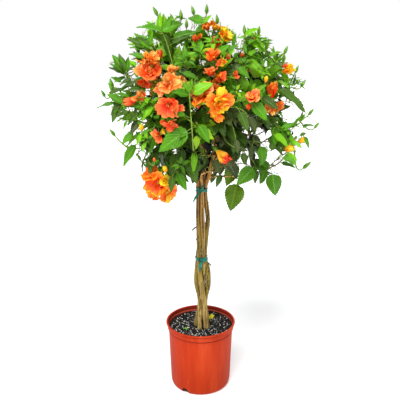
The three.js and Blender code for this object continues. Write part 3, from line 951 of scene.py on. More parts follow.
def root_in_stem(point):
    """A fifth of the way to a bough's foot from the nearest stem's middle line, a little lower."""
    z = point[2] - 0.004
    middles = [np.append(at_height(centres, z), z) for centres, _ in stems.values()]
    nearest = min(middles, key=lambda middle: np.linalg.norm(middle - point))
    return nearest + (point - nearest) * 0.2


BOUGH_STEPS = 34
BOUGH_BARK_SIDES = 14


def make_boughs():
    """Each bough runs from inside its stem through its node's ring centres; returns its end and heading."""
    ends = []
    for number, name in enumerate(BOUGH_NAMES):
        centres, radii = rings_of(name, BOUGH_SIDES)
        if radii[0] < radii[-1]:
            centres, radii = centres[::-1], radii[::-1]
        start = root_in_stem(centres[0])
        path = np.concatenate([[start], centres])
        path = path + 0.0015 * np.stack([waves(path, 60, 90 + number + i) for i in range(3)], 1)
        path[0] = start
        t = np.linspace(0, len(path) - 1, BOUGH_STEPS)
        fine = eased(path, BOUGH_STEPS, 3)
        radius = np.interp(t, np.arange(len(path)), np.concatenate([[radii[0] * 1.35], radii]))
        shape = Shape()
        angle = np.arange(BOUGH_BARK_SIDES) * TURN / BOUGH_BARK_SIDES
        relief = 0.0002 * np.sin(4 * angle + 40 * t[:, None] / BOUGH_STEPS)
        relief = relief + 0.0003 * waves(fine, 260, 120 + number)[:, None]
        tube(shape, fine, radius, BOUGH_BARK_SIDES, relief)
        put(f"{name}_bark", shape, "bark_stem_back", [name])
        ends.append((fine[-1], unit(fine[-1] - fine[-4]), radii[-1]))
    return ends


# ---- branching

STEP = 0.015  # length of a growing step
REACH = 0.13  # how far a mark pulls
SPENT = 0.023  # how near a twig has to come to a mark
MARKS = 1650
# Sprays that stand out of the round of the head: place in the view, half its breadth, how many marks.
SPRAYS = [
    (137, 42, 8, 22), (120, 62, 8, 22), (165, 24, 5, 10), (117, 88, 6, 12), (148, 165, 5, 8),
    (287, 140, 6, 12), (272, 160, 5, 8), (303, 122, 4, 6), (283, 55, 4, 6), (262, 42, 7, 14),
    (250, 34, 6, 10), (293, 84, 5, 10), (115, 113, 4, 6), (127, 137, 4, 5), (131, 153, 5, 8),
    (184, 178, 5, 8), (246, 176, 6, 10), (262, 175, 5, 8), (268, 118, 7, 14), (280, 126, 6, 10),
    (262, 145, 6, 10), (282, 140, 5, 10), (292, 155, 5, 8), (252, 165, 6, 10), (178, 22, 5, 8),
    (199, 22, 6, 10), (228, 31, 5, 8), (150, 32, 6, 10), (285, 160, 5, 8), (302, 143, 5, 8),
]
MARGIN = 0.03
TIP_RADIUS = 0.0008
JOIN_POWER = 2.3  # a twig's radius to this power is the sum of its branches'


def strew_marks(draw):
    """Points for twigs to grow to: inside the foliage masses, a margin short of their outer skin, and
    thinned in lumps so that sky shows between sprays."""
    found = []
    while len(found) < MARKS:
        batch = draw.uniform(masses_low, masses_high, (2000, 3))
        out = batch + unit(batch - HEAD) * MARGIN
        outer = np.linalg.norm((batch - HEAD) / HEAD_HALF, axis=1)
        open_air = waves(batch, 34, 8, 9) < np.interp(outer, [0.45, 1.0], [-0.6, -0.12])
        for point, pushed in zip(batch[~open_air], out[~open_air]):
            if inside(point) and inside(pushed):
                found.append(point)
    for across, down, half, count in SPRAYS:
        for _ in range(count):
            place = spot(across + draw.normal(0, half * 0.5), down + draw.normal(0, half * 0.5), -0.03)
            found.append(place + [0, draw.uniform(-0.03, 0.05), 0])
    return np.array(found[-(MARKS + sum(spray[3] for spray in SPRAYS)):])


def grow(places, parents, marks, draw):
    """Branching towards marks: each mark pulls the nearest twig point within reach, each pulled point grows
    one step along the mean of its pulls, and a mark that a twig has come to is spent."""
    near = np.full(len(marks), np.inf)
    owner = np.zeros(len(marks), int)
    fresh = 0
    for _ in range(90):
        gaps = np.linalg.norm(marks[:, None] - places[None, fresh:], axis=2)
        best = gaps.argmin(1)
        closest = gaps[np.arange(len(marks)), best]
        better = closest < near
        near[better] = closest[better]
        owner[better] = best[better] + fresh
        pulled = (near > SPENT) & (near < REACH)
        if not pulled.any():
            break
        pull = np.zeros_like(places)
        np.add.at(pull, owner[pulled], unit(marks[pulled] - places[owner[pulled]]))
        movers = np.unique(owner[pulled])
        way = unit(pull[movers]) + draw.normal(0, 0.16, (len(movers), 3)) + [0, 0, 0.08]
        new = places[movers] + STEP * unit(way)
        crowd = np.linalg.norm(new[:, None] - places[None], axis=2).min(1)
        keep = crowd > 0.45 * STEP
        if not keep.any():
            break
        fresh = len(places)
        places = np.concatenate([places, new[keep]])
        parents = np.concatenate([parents, movers[keep]])
    return places, parents


class Skeleton:
    """The twigs: places, parents, thickness, how many steps each point is from the furthest tip it feeds,
    and the tip of the spray that it belongs to."""

    def __init__(self, seeds, draw):
        places = np.array([place for place, _, _ in seeds])
        starts = places + STEP * np.array([way for _, way, _ in seeds])
        count = len(seeds)
        self.seeds = count
        parents = np.concatenate([np.full(count, -1), np.arange(count)])
        self.places, self.parents = grow(np.concatenate([places, starts]), parents, strew_marks(draw), draw)
        total = len(self.places)
        self.children = [[] for _ in range(total)]
        flow = np.full(total, 0.0)
        self.height = np.zeros(total, int)
        self.spray = np.arange(total)
        for i in range(total - 1, -1, -1):
            below = self.children[i]
            if not below:
                flow[i] = TIP_RADIUS**JOIN_POWER
            else:
                heir = max(below, key=lambda k: flow[k])
                self.height[i] = self.height[heir] + 1
                self.spray[i] = self.spray[heir]
            parent = self.parents[i]
            if parent >= 0:
                flow[parent] += flow[i]
                self.children[parent].append(i)
        self.radius = flow ** (1 / JOIN_POWER)
        limit = np.array([r for _, _, r in seeds] * 2)
        cap = np.full(total, 1.0)
        cap[: 2 * count] = limit
        for i in range(2 * count, total):
            cap[i] = cap[self.parents[i]] * 0.985
        self.radius = np.minimum(self.radius, cap)
        smooth = self.places.copy()
        for i in range(2 * count, total):
            if self.children[i]:
                heir = max(self.children[i], key=lambda k: flow[k])
                smooth[i] = (self.places[self.parents[i]] + 2 * self.places[i] + self.places[heir]) / 4
        self.places = smooth

    def chains(self):
        """Runs of points, each from where it forks off to its tip, the stoutest child carrying a run on."""
        runs = []
        starts = [(-1, seed) for seed in range(self.seeds)]
        while starts:
            fork, here = starts.pop()
            run = [here] if fork < 0 else [fork, here]
            while self.children[here]:
                order = sorted(self.children[here], key=lambda k: -self.radius[k])
                starts.extend((here, other) for other in order[1:])
                here = order[0]
                run.append(here)
            runs.append(run)
        return runs


GREEN_BELOW = 0.00165  # radius up to which a twig is green
STOUT = 0.0022  # radius from which its tube has more sides


def make_twigs(skeleton):
    """A tube along each run, a little flared where it forks off; thin runs are green and have fewer sides."""
    woody, green = Shape(), Shape()
    for run in skeleton.chains():
        path = skeleton.places[run]
        radius = skeleton.radius[run].copy()
        radius[0] = min(radius[0], radius[min(1, len(run) - 1)] * 1.25)
        if len(path) < 2:
            continue
        target = woody if radius.max() > GREEN_BELOW else green
        tube(target, path, radius, 7 if radius.max() > STOUT else 5)
    put("twigs", woody, "twig")
    put("green_twigs", green, "shoot")


# ---- leaves

def leaf_blade(half_width, fold, droop, ripple, quilt=0.016, stations=11, columns=5, veins=10):
    """A leaf blade of length 1 along +Y. Its half width follows a sine of the place along it, drawn towards
    the stalk, and steps out and in as teeth; it is folded up along the midrib, droops with the square of
    the place, ripples along its sides, and is quilted between the veins by a cosine that slants forward
    from the midrib. Returns points, faces and surface coordinates."""
    v = np.linspace(0, 1, stations)
    outline = half_width * np.sin(math.pi * np.clip(v, 0.012, 0.988) ** 0.66) ** 0.85
    notch = np.where(np.arange(stations) % 2 == 1, 1.0, 0.92)
    outline = outline * np.where((v > 0.15) & (v < 0.95), notch, 1.0)
    u = np.linspace(-1, 1, columns)
    side = np.abs(u)
    across = outline[:, None] * u
    lift = fold * np.abs(across) - droop * v[:, None] ** 2
    lift = lift + ripple * np.sin(2 * TURN * v[:, None] + np.sign(u)) * u**2
    lift = lift + quilt * np.cos(math.pi * veins * (v[:, None] - 0.45 * side)) * np.sin(math.pi * side)
    ahead = v[:, None] + 0.03 * side * (notch[:, None] - 0.96) / 0.08 * (outline[:, None] > 0.1)
    points = np.stack([across, np.broadcast_to(ahead, across.shape), lift], -1).reshape(-1, 3)
    surface = np.stack([np.broadcast_to(u / 2 + 0.5, across.shape),
                        np.broadcast_to(v[:, None], across.shape)], -1).reshape(-1, 2)
    return points, grid(stations, columns), surface


# Each blade's half width, fold, droop and ripple.
BLADES = [
    leaf_blade(0.31, 0.35, 0.16, 0.025), leaf_blade(0.27, 0.5, 0.3, 0.02), leaf_blade(0.33, 0.2, 0.42, 0.03),
    leaf_blade(0.29, 0.3, -0.12, 0.02), leaf_blade(0.35, 0.25, 0.22, 0.035),
]
YOUNG_BLADES = [
    leaf_blade(*form, stations=7, veins=6) for form in ((0.17, 0.9, -0.1, 0.01), (0.2, 0.7, 0.18, 0.015))]
# The leaves that are seen whole have more faces, so that their veins and teeth show.
NEAR_BLADES = [
    leaf_blade(0.32, fold, droop, 0.03, quilt=0.012, stations=23, columns=9, veins=14)
    for fold, droop in ((0.3, 0.12), (0.45, 0.25), (0.2, 0.3), (0.35, -0.08))]
SORTS = {"plain": BLADES, "young": YOUNG_BLADES, "near": NEAR_BLADES}
# Where a blade is tested against the view: share of its length and side.
BLADE_MARKS = [
    (0, 0), (0.25, 1), (0.25, -1), (0.25, 0), (0.48, 1), (0.48, -1), (0.5, 0), (0.7, 0.8), (0.7, -0.8),
    (0.75, 0), (0.95, 0),
]

Leaf = namedtuple("Leaf", "base along facing length tone blade sort width")


class Foliage:
    """Leaf blades by tone and shape, with their stalks, gathered before they are made into pieces."""

    def __init__(self):
        self.leaves = []
        self.stalks = []

    def leaf(self, base, along, facing, length, tone, blade, sort="plain", width=1.0):
        """Adds a leaf that starts at base, points along and faces facing."""
        self.leaves.append(Leaf(base, along, facing, length, tone, blade, sort, width))

    def stalk(self, start, end, radius):
        """Adds a leaf's stalk."""
        self.stalks.append((start, end, radius))

    def keep(self, test):
        """Drops the leaves that fail a test."""
        self.leaves = [leaf for leaf in self.leaves if test(leaf)]

    def keep_shown(self):
        """Drops the leaves that would break the outline seen from the front, fill an opening, or hide where
        the stems fork."""
        base = np.array([leaf.base for leaf in self.leaves])
        along = unit(np.array([leaf.along for leaf in self.leaves]))
        facing = np.array([leaf.facing for leaf in self.leaves])
        length = np.array([leaf.length for leaf in self.leaves])[:, None]
        across = unit(np.cross(along, facing)) * length * 0.24
        marks = shown(np.stack([
            base + share * along * length + side * across for share, side in BLADE_MARKS], 1))
        fork = np.any([(np.abs(marks - middle) < half).all(-1).any(1) for middle, half in FORK], axis=0)
        fork &= base[:, 1] < 0.0
        good = within_outline(marks).all(1) & ~in_opening(marks).any(1) & ~fork
        self.leaves = [leaf for leaf, fine in zip(self.leaves, good) if fine]

    def make_leaves(self):
        """One piece for each tone, every leaf a turned and stretched copy of its blade."""
        for tone in LEAF_TONES:
            shape = Shape()
            for sort, blades in SORTS.items():
                for number, (points, faces, surface) in enumerate(blades):
                    some = [leaf for leaf in self.leaves
                            if leaf.tone == tone and leaf.sort == sort and leaf.blade % len(blades) == number]
                    if not some:
                        continue
                    places = np.array([leaf.base for leaf in some])
                    along = np.array([leaf.along for leaf in some])
                    facing = np.array([leaf.facing for leaf in some])
                    length = np.array([leaf.length for leaf in some])[:, None, None]
                    width = np.array([[leaf.width, 1, 1] for leaf in some])[:, None]
                    scatter(shape, (points, faces), places, axes_from(along, facing) * length * width, surface)
            put(f"leaves_{tone}", shape, tone)

    def make_stalks(self):
        """All leaf stalks as rods of four sides in one piece."""
        start, end, radius = (np.array(column) for column in zip(*self.stalks))
        way = end - start
        radius = radius[:, None, None]
        axes = axes_from(way, np.cross(way, UP) + 1e-6)
        scale = np.concatenate([radius, np.linalg.norm(way, axis=1)[:, None, None], radius], 2)
        ring = np.array([[math.cos(a), 0, math.sin(a)] for a in np.arange(4) * TURN / 4])
        rod = np.concatenate([ring, ring + [0, 1, 0]])
        shape = Shape()
        scatter(shape, (rod, grid(2, 4, closed=True)), start, axes * scale)
        put("leaf_stalks", shape, "shoot")


def leaf_tone(place, height, luck):
    """Tone by where a spray stands, as painted light and shade: fresh and bright high and outside, deep low and
    inside, near-black gloom far inside, and darker in a patch low and right of the middle.
    """
    outer = np.linalg.norm((place - HEAD) / HEAD_HALF)
    # Painted shade: leaves far inside the head get the near-black gloom tone.
    if outer < 0.6:
        return "gloom"
    light = 1.5 * outer + 1.6 * level_of(place) + 0.75 * luck
    # Painted shade: a patch low and right of the middle is darkened.
    light -= 1.2 * math.exp(-(((place[0] - 0.1) / 0.12) ** 2) - ((place[2] - 0.95) / 0.11) ** 2)
    for tone, least in (("fresh", 2.45), ("bright", 1.2), ("mid", 0.5), ("deep", -0.35)):
        if light > least and (tone != "fresh" or height < 3):
            return tone
    return "shade"


LEAFY = 8  # steps from the tip within which wood bears leaves


def leaf_out(skeleton, foliage, draw):
    """One leaf at each point of young wood, turned by the golden angle from the last, drooping more the
    lower it stands, and a tuft of narrow young leaves at each tip."""
    luck = draw.normal(0, 1, len(skeleton.places))
    for i in range(2 * skeleton.seeds, len(skeleton.places)):
        height = skeleton.height[i]
        if height > LEAFY:
            continue
        place = skeleton.places[i]
        along = unit(place - skeleton.places[skeleton.parents[i]])
        outward = unit(place - HEAD)
        outer = np.linalg.norm((place - HEAD) / HEAD_HALF)
        if draw.uniform() > np.interp(outer, [0.3, 0.6], [0.3, 0.97]):
            continue
        side = unit(np.cross(along, UP) + 1e-6)
        turned = i * GOLDEN + draw.normal(0, 0.3)
        side = side * math.cos(turned) + np.cross(along, side) * math.sin(turned)
        level = level_of(place)
        droop = np.interp(level, [-1, 0, 1], [0.75, 0.3, -0.15])
        way = unit(0.8 * side + 0.35 * along + 0.55 * outward + draw.normal(0, 0.18, 3) - [0, 0, droop * 0.5])
        stalk = draw.uniform(0.012, 0.026)
        base = place + way * stalk
        blade_way = unit(way - [0, 0, droop * 0.9] + draw.normal(0, 0.12, 3))
        facing = unit(0.9 * UP + 0.75 * outward + draw.normal(0, 0.3, 3))
        spray = skeleton.spray[i]
        tone = leaf_tone(place, height, luck[spray])
        length = np.interp(height, [0, 2, 5, 8], [0.044, 0.062, 0.07, 0.066]) * draw.uniform(0.78, 1.2)
        length *= np.interp(level, [-0.5, 0.4], [0.98, 1.08])
        foliage.stalk(place, base, 0.0008)
        width = np.interp(level, [-0.2, 0.7], [0.98, 0.94]) * draw.uniform(0.85, 1.15)
        foliage.leaf(base, blade_way, facing, length, tone, int(draw.integers(0, 5)), width=width)
        if height == 0:
            tuft(foliage, place, unit(along + 0.5 * outward + [0, 0, 0.45]), outward, level, luck[i], draw)


def tuft(foliage, place, along, outward, level, luck, draw):
    """Narrow young leaves round a tip, standing up more the higher it is."""
    side = unit(np.cross(along, UP) + 1e-6)
    other = np.cross(along, side)
    tone = leaf_tone(place + outward * 0.03, 0, luck)
    for k in range(int(draw.integers(3, 6))):
        turned = k * GOLDEN + luck
        spread = draw.uniform(0.35, 0.8)
        way = unit(along + spread * (side * math.cos(turned) + other * math.sin(turned)))
        length = draw.uniform(0.022, 0.042)
        young = "fresh" if k > 2 and level > -0.2 else tone
        foliage.leaf(place + way * 0.004, way, unit(outward + UP - way), length, young, k, "young")


# ---- blooms and buds

PETAL_ROWS, PETAL_COLUMNS = 8, 9


def petal_skin(length, half_width, start, end, ruffle, phase, cup=0.25):
    """A petal in the plane of the bloom's axis (+Z) and one radius (+X). Its middle line turns from angle
    start to angle end off the axis; the half width swells to two thirds of the way and rounds off to a
    notched rim; the sides cup up, and the outer half is ruffled by two sines across the petal."""
    v = np.linspace(0, 1, PETAL_ROWS)
    angle = start + (end - start) * v
    step = length / (PETAL_ROWS - 1)
    out = np.concatenate([[0], np.cumsum(np.sin(angle[:-1]))]) * step
    up = np.concatenate([[0], np.cumsum(np.cos(angle[:-1]))]) * step
    u = np.linspace(-1, 1, PETAL_COLUMNS)
    width = half_width * np.clip(1.25 * v**0.8 * (1 - 0.55 * v**5), 0.12, 1)
    rim = 1 - (0.17 * u**2 + 0.05 * np.sin(6.5 * u + 3 * phase)) * v[:, None] ** 2
    lift = cup * width[:, None] * u**2
    lift = lift + ruffle * v[:, None] ** 1.4 * np.sin(3.6 * u + phase) * (0.4 + 0.6 * np.abs(u))
    lift = lift + 0.5 * ruffle * v[:, None] ** 2.5 * np.sin(8.5 * u + 2 * phase)
    x = out[:, None] * rim - np.cos(angle)[:, None] * lift
    z = up[:, None] * rim + np.sin(angle)[:, None] * lift
    y = width[:, None] * u * (1 + 0.12 * np.sin(5 * v[:, None] + phase))
    surface = np.stack([np.broadcast_to(u / 2 + 0.5, y.shape), np.broadcast_to(v[:, None], y.shape)], -1)
    return np.stack([x, y, z], -1).reshape(-1, 3), surface.reshape(-1, 2)


# Rows of petals, outermost first: how many, share of the length, share of the width, angles off the axis,
# and how crumpled.
BLOOM_KINDS = {
    "open": [(5, 1.0, 0.44, 0.45, 1.7, 1), (5, 0.84, 0.34, 0.25, 1.35, 1.2), (6, 0.66, 0.24, 0.15, 1.0, 1.6),
             (7, 0.5, 0.18, 0.05, 0.7, 2)],
    "loose": [(5, 1.0, 0.4, 0.25, 1.25, 1.1), (4, 0.8, 0.3, 0.1, 0.9, 1.4), (5, 0.6, 0.22, 0.0, 0.6, 1.8)],
    "broad": [(5, 1.0, 0.5, 0.35, 1.45, 0.7), (3, 0.6, 0.28, 0.2, 0.9, 1.2), (4, 0.42, 0.18, 0.1, 0.6, 1.6)],
    "tube": [(5, 1.0, 0.28, 0.2, 0.3, 0.3), (4, 0.92, 0.2, 0.02, 0.24, 0.5)],
    "half": [(5, 1.0, 0.36, 0.12, 0.36, 0.6), (4, 0.9, 0.26, 0.0, 0.26, 1)],
    "furled": [(4, 1.0, 0.26, 0.8, -0.7, 0.2), (3, 0.96, 0.2, 0.55, -0.45, 0.2)],
}
# How unlike each other a kind's petals are, and how far its foot lies behind its middle, in petal lengths.
RAGGED = {"open": 1.0, "loose": 1.0, "broad": 0.55, "tube": 0.15, "half": 0.4, "furled": 0.15}
BEHIND = {"open": 0.3, "loose": 0.4, "broad": 0.3, "tube": 0.5, "half": 0.5, "furled": 0.5}


def bloom_points(kind, size, draw):
    """All petals of one bloom about +Z, as (row, points, surface coordinates); each row is turned half a
    place from the last, and every petal has its own length, opening and roll."""
    petals = []
    turned = draw.uniform(0, TURN)
    ragged = RAGGED[kind]
    for row, (count, length, width, start, end, crumple) in enumerate(BLOOM_KINDS[kind]):
        for k in range(count):
            angle = turned + (k + 0.5 * row) * TURN / count + ragged * draw.normal(0, 0.2)
            reach = size * length * (1 + ragged * draw.uniform(-0.3, 0.16))
            half_width = size * width * draw.uniform(0.85, 1.15)
            last = end + ragged * draw.normal(0, 0.28)
            ruffle = size * crumple * (0.02 if kind == "furled" else draw.uniform(0.06, 0.1))
            skin, place = petal_skin(reach, half_width, start, last, ruffle, draw.uniform(0, TURN))
            lean = ragged * draw.normal(0, 0.16 + 0.08 * row)
            skin = skin @ np.array([[1, 0, 0], [0, math.cos(lean), -math.sin(lean)],
                                    [0, math.sin(lean), math.cos(lean)]])
            c, s = math.cos(angle), math.sin(angle)
            petals.append((row, skin @ np.array([[c, s, 0], [-s, c, 0], [0, 0, 1]]), place))
    return petals


def bud_body(length, girth, sides=8, rows=8, ridge=0.1):
    """A pointed bud on +Z: its radius follows a sine drawn to the foot, with ridges that wind up it."""
    v = np.linspace(0, 1, rows)
    radius = girth * np.sin(math.pi * np.clip(v, 0.04, 0.985) ** 0.72) ** 0.9
    angle = np.arange(sides) * TURN / sides
    swell = 1 + ridge * np.cos(5 * angle + 3.6 * v[:, None])
    x = radius[:, None] * swell * np.cos(angle)
    y = radius[:, None] * swell * np.sin(angle)
    z = np.broadcast_to(length * v[:, None], x.shape)
    return np.stack([x, y, z], -1).reshape(-1, 3), grid(rows, sides, closed=True)


BRACTS, BRACT_ROWS = 6, 4


def bracts(length, spread):
    """Narrow strips round the foot of a bud, bending outwards with the 1.5th power of the place along them."""
    v = np.linspace(0, 1, BRACT_ROWS)
    out, faces = [], []
    for k in range(BRACTS):
        angle = k * TURN / BRACTS
        radial = np.array([math.cos(angle), math.sin(angle), 0])
        side = np.array([-math.sin(angle), math.cos(angle), 0])
        middle = radial * (0.2 * length + spread * length * v[:, None] ** 1.5) + UP * length * v[:, None] * 0.9
        half = 0.09 * length * (1.05 - v[:, None])
        strip = np.stack([middle - side * half, middle + side * half], 1).reshape(-1, 3)
        faces.append(grid(BRACT_ROWS, 2) + k * len(strip))
        out.append(strip)
    return np.concatenate(out), np.concatenate(faces)


def turned_to(axis):
    """A matrix that stands +Z on an axis."""
    axis = unit(axis)
    side = unit(np.cross(axis, [0.31, 0.2, 0.93]) + 1e-9)
    return np.stack([side, np.cross(axis, side), axis], -1)


LONG_STALK = 0.04  # length from which a stalk bears leaves
SHOWY = ("open", "loose", "broad")  # kinds whose stamens show


class Garden:
    """Blooms and buds of the head, gathered by finish, with the curved stalks that carry them."""

    def __init__(self, skeleton, foliage):
        self.skeleton = skeleton
        self.foliage = foliage
        self.petals = {tint: Shape() for tint in PETAL_STOPS}
        self.buds = Shape()
        self.stamens = Shape()
        self.stalks = Shape()
        self.wood = Shape()
        self.clearings = []
        self.leafy = True
        self.draw = np.random.default_rng(404)
        self.stray = np.random.default_rng(405)

    def carry(self, foot, axis, radius):
        """A stalk from the nearest twig point further in, bending into the axis at the foot that it carries. A
        long one bears leaves."""
        places = self.skeleton.places
        gap = np.linalg.norm(places - foot, axis=1)
        inward = np.linalg.norm(places - HEAD, axis=1) < np.linalg.norm(foot - HEAD) - 0.004
        from_here = places[np.argmin(np.where(inward, gap, gap + 1))]
        reach = np.linalg.norm(foot - from_here)
        path = curve(from_here, foot - unit(axis) * reach * 0.45, foot, 9)
        tube(self.stalks, path, np.linspace(radius * (1.15 + 10 * reach), radius, 9), 5)
        for share in (2, 4, 6) if self.leafy and reach > LONG_STALK else ():
            way = unit(path[share] - path[share - 1] + 0.9 * self.stray.normal(size=3))
            outward = unit(path[share] - HEAD)
            tone = leaf_tone(path[share], 3, self.stray.normal())
            self.foliage.leaf(path[share], way, unit(UP + 0.5 * outward), 0.05 - 0.005 * share, tone, share)

    def stand_bud(self, foot, axis, *parts):
        """Adds parts of a bud, each (points, faces), standing on foot along axis."""
        for points, faces in parts:
            self.buds.add(points @ turned_to(axis).T + foot, faces)

    def bloom(self, centre, axis, size, kind, tint):
        """centre is the middle of the bloom as seen; its foot lies behind it on its axis. tint is that of
        the outer petals, or "outer/inner"."""
        axis = unit(axis)
        foot = centre - axis * BEHIND[kind] * size
        turn = turned_to(axis)
        outer, inner = (tint.split("/") * 2)[:2]
        for row, skin, place in bloom_points(kind, size, self.draw):
            shade = inner if self.draw.uniform() < (0.15, 0.45, 0.75, 0.9)[row] else outer
            self.petals[shade].add(skin @ turn.T + foot, grid(PETAL_ROWS, PETAL_COLUMNS), place)
        if kind in SHOWY:
            for _ in range(9):
                way = unit(axis + 0.35 * self.draw.normal(size=3))
                tube(self.stamens, np.linspace(foot + axis * size * 0.2, foot + way * size * 0.42, 3),
                     [0.0005, 0.0005, 0.0012], 4)
        foot = foot - axis * size * 0.1
        calyx = size * 0.3
        body = bud_body(calyx * 1.15, calyx * 0.34, sides=6, rows=5, ridge=0.05)
        self.stand_bud(foot, axis, body, bracts(calyx * 0.9, 0.55))
        self.carry(foot, axis, 0.0014)
        self.clearings.append((centre, axis, size * (0.95 if kind in ("open", "broad") else 0.6)))

    def green_bud(self, foot, axis, length):
        """Adds a closed bud with its bracts and stalk."""
        self.stand_bud(foot, axis, bud_body(length, length * 0.19), bracts(length * 0.42, 0.7))
        self.carry(foot, axis, 0.0017)

    def make(self):
        """One piece for each petal tint, and one each for buds, stamens, stalks and bare twigs."""
        for tint, shape in self.petals.items():
            put(f"petals_{tint}", shape, f"petal_{tint}")
        put("buds", self.buds, "bud")
        put("stamens", self.stamens, "stamen")
        put("bloom_stalks", self.stalks, "shoot")
        put("bare_twigs", self.wood, "twig")


# Each bloom that faces forward: place in the view, petal length, heading (angle, lean), kind and tint.
FRONT_BLOOMS = [
    (150, 74, 0.064, 95, 0.86, "broad", "coral/scarlet"), (152, 60, 0.044, 85, 0.5, "loose", "orange/peach"),
    (143, 61, 0.036, 120, 0.6, "loose", "peach/coral"), (146, 82, 0.04, 250, 0.6, "loose", "scarlet/coral"),
    (169.5, 84, 0.05, 20, 0.92, "open", "peach/coral"), (172, 71, 0.036, 70, 0.6, "loose", "peach"),
    (180, 80, 0.034, 10, 0.6, "loose", "peach/coral"), (162, 88, 0.036, 215, 0.7, "loose", "coral/peach"),
    (169, 104, 0.05, 250, 0.8, "broad", "scarlet/coral"),
    (175, 108, 0.036, 320, 0.6, "loose", "coral/scarlet"),
    (172, 123, 0.036, 265, 0.5, "loose", "scarlet/coral"), (164, 122, 0.022, 190, 0.4, "half", "scarlet"),
    (158, 136, 0.034, 215, 0.75, "loose", "scarlet/peach"), (162.5, 132, 0.024, 40, 0.85, "half", "yellow"),
    (159.5, 183.5, 0.064, 200, 0.88, "broad", "orange/scarlet"),
    (152, 176.5, 0.048, 120, 0.7, "broad", "orange"),
    (166.5, 191.5, 0.051, 312, 0.68, "broad", "orange/yellow"),
    (154.5, 194, 0.042, 250, 0.6, "loose", "orange/yellow"), (166, 181, 0.038, 20, 0.92, "loose", "yellow"),
    (160.5, 54, 0.03, 110, 0.5, "half", "coral/peach"), (207, 27.5, 0.03, 110, 0.5, "loose", "orange/peach"),
    (212, 23, 0.018, 100, 0.4, "half", "peach"), (215.5, 27.5, 0.032, 60, 0.5, "loose", "peach/yellow"),
    (195, 39, 0.024, 100, 0.5, "half", "scarlet"), (200, 37, 0.02, 80, 0.5, "half", "orange"),
    (224, 35.5, 0.048, 50, 0.7, "loose", "yellow/orange"),
    (217, 41.5, 0.034, 230, 0.6, "loose", "scarlet/orange"),
    (212.5, 56, 0.042, 95, 0.45, "loose", "orange/coral"),
    (222, 61, 0.026, 250, 0.5, "loose", "scarlet/yellow"), (228, 57, 0.026, 80, 0.5, "half", "coral"),
    (211.5, 72.5, 0.034, 130, 0.6, "loose", "coral/scarlet"),
    (220, 79, 0.04, 75, 0.6, "loose", "scarlet/yellow"), (235, 75, 0.022, 10, 0.6, "loose", "scarlet"),
    (201.5, 96, 0.058, 160, 0.8, "open", "coral/orange"),
    (219, 102, 0.05, 330, 0.88, "open", "orange/yellow"),
    (216, 113, 0.043, 275, 0.5, "loose", "orange/yellow"), (215, 87, 0.038, 80, 0.6, "loose", "orange/peach"),
    (252, 98, 0.034, 100, 0.8, "open", "coral/peach"), (249, 106, 0.022, 250, 0.4, "half", "scarlet"),
    (272.5, 91, 0.056, 92, 0.35, "half", "orange/coral"), (270, 107, 0.036, 230, 0.6, "loose", "coral/peach"),
    (278, 106, 0.034, 330, 0.6, "loose", "orange/coral"), (254.5, 39, 0.014, 90, 0.4, "half", "peach"),
    (242, 55, 0.018, 60, 0.4, "half", "coral"),
]
# Furled and half-open buds: place in the view, length, heading (angle, lean), kind and tint.
COLOURED_BUDS = [
    (141, 97, 0.044, 105, 0.3, "half", "peach/coral"), (129.5, 101.5, 0.048, 185, 0.25, "furled", "scarlet"),
    (134, 99.5, 0.034, 200, 0.25, "furled", "peach"), (141.3, 127.5, 0.026, 95, 0.35, "furled", "yellow"),
    (154.3, 159.5, 0.016, 90, 0.5, "furled", "coral"), (165, 169, 0.026, 110, 0.3, "furled", "yellow"),
    (288, 70, 0.044, 20, 0.25, "half", "yellow"), (285, 65.5, 0.022, 30, 0.25, "furled", "scarlet"),
    (266, 79, 0.024, 80, 0.3, "furled", "yellow"), (289.5, 148.5, 0.042, 16, 0.25, "furled", "yellow"),
    (302.5, 140, 0.034, 20, 0.3, "furled", "yellow"), (221.8, 155.2, 0.062, 315, 0.2, "tube", "flame"),
]
# Green buds that stand out of the head: place of the foot in the view, angle, and length where it is unusual.
GREEN_BUDS = [
    (157.5, 15.5, 118), (181, 20, 92, 0.032), (186.5, 28, 90), (194, 15, 105), (206.5, 14, 88, 0.031),
    (105, 97, 118), (115, 136, 128), (140.5, 160, 120), (284, 54, 65), (295, 73, 65), (301, 87, 58),
    (301, 121, 60), (308.5, 115, 50), (314.5, 128, 50), (303, 168.5, 40, 0.036), (233.5, 44, 90, 0.036),
    (244.5, 34, 92), (258.5, 35, 85), (190, 80, 88), (138, 140, 100), (217.5, 24, 95), (112, 91, 97, 0.042),
]


def dress(garden):
    """The blooms and buds of the front where the tables place them, then those of the sides and back."""
    for across, down, size, angle, lean, kind, tint in FRONT_BLOOMS + COLOURED_BUDS:
        garden.bloom(spot(across, down, 0.02), heading(angle, lean), size, kind, tint)
    for across, down, angle, *length in GREEN_BUDS:
        usual = garden.draw.uniform(0.024, 0.031)
        garden.green_bud(spot(across, down), heading(angle, 0.15), length[0] if length else usual)
    add_hidden_blooms(garden)


HIDDEN_BLOOMS = 44
HIDDEN_BUDS = 70
HIDDEN_SIZES = {"open": 0.058, "loose": 0.044, "half": 0.036, "furled": 0.03}
HIDDEN_TINTS = ["orange/peach", "coral/peach", "scarlet/coral", "peach/coral", "coral/yellow", "orange/coral"]
# Parts of the view where none is added, because they are listed there; the left gets buds only.
PLACED_ABOVE, PLACED_RIGHT_OF, PLACED_BELOW, PLACED_LEFT_OF = 62, 262, 112, 130
NEAR_EDGE = 0.036 * np.array([[1, 0, 0], [-1, 0, 0], [0, 0, 1], [0, 0, -1]])


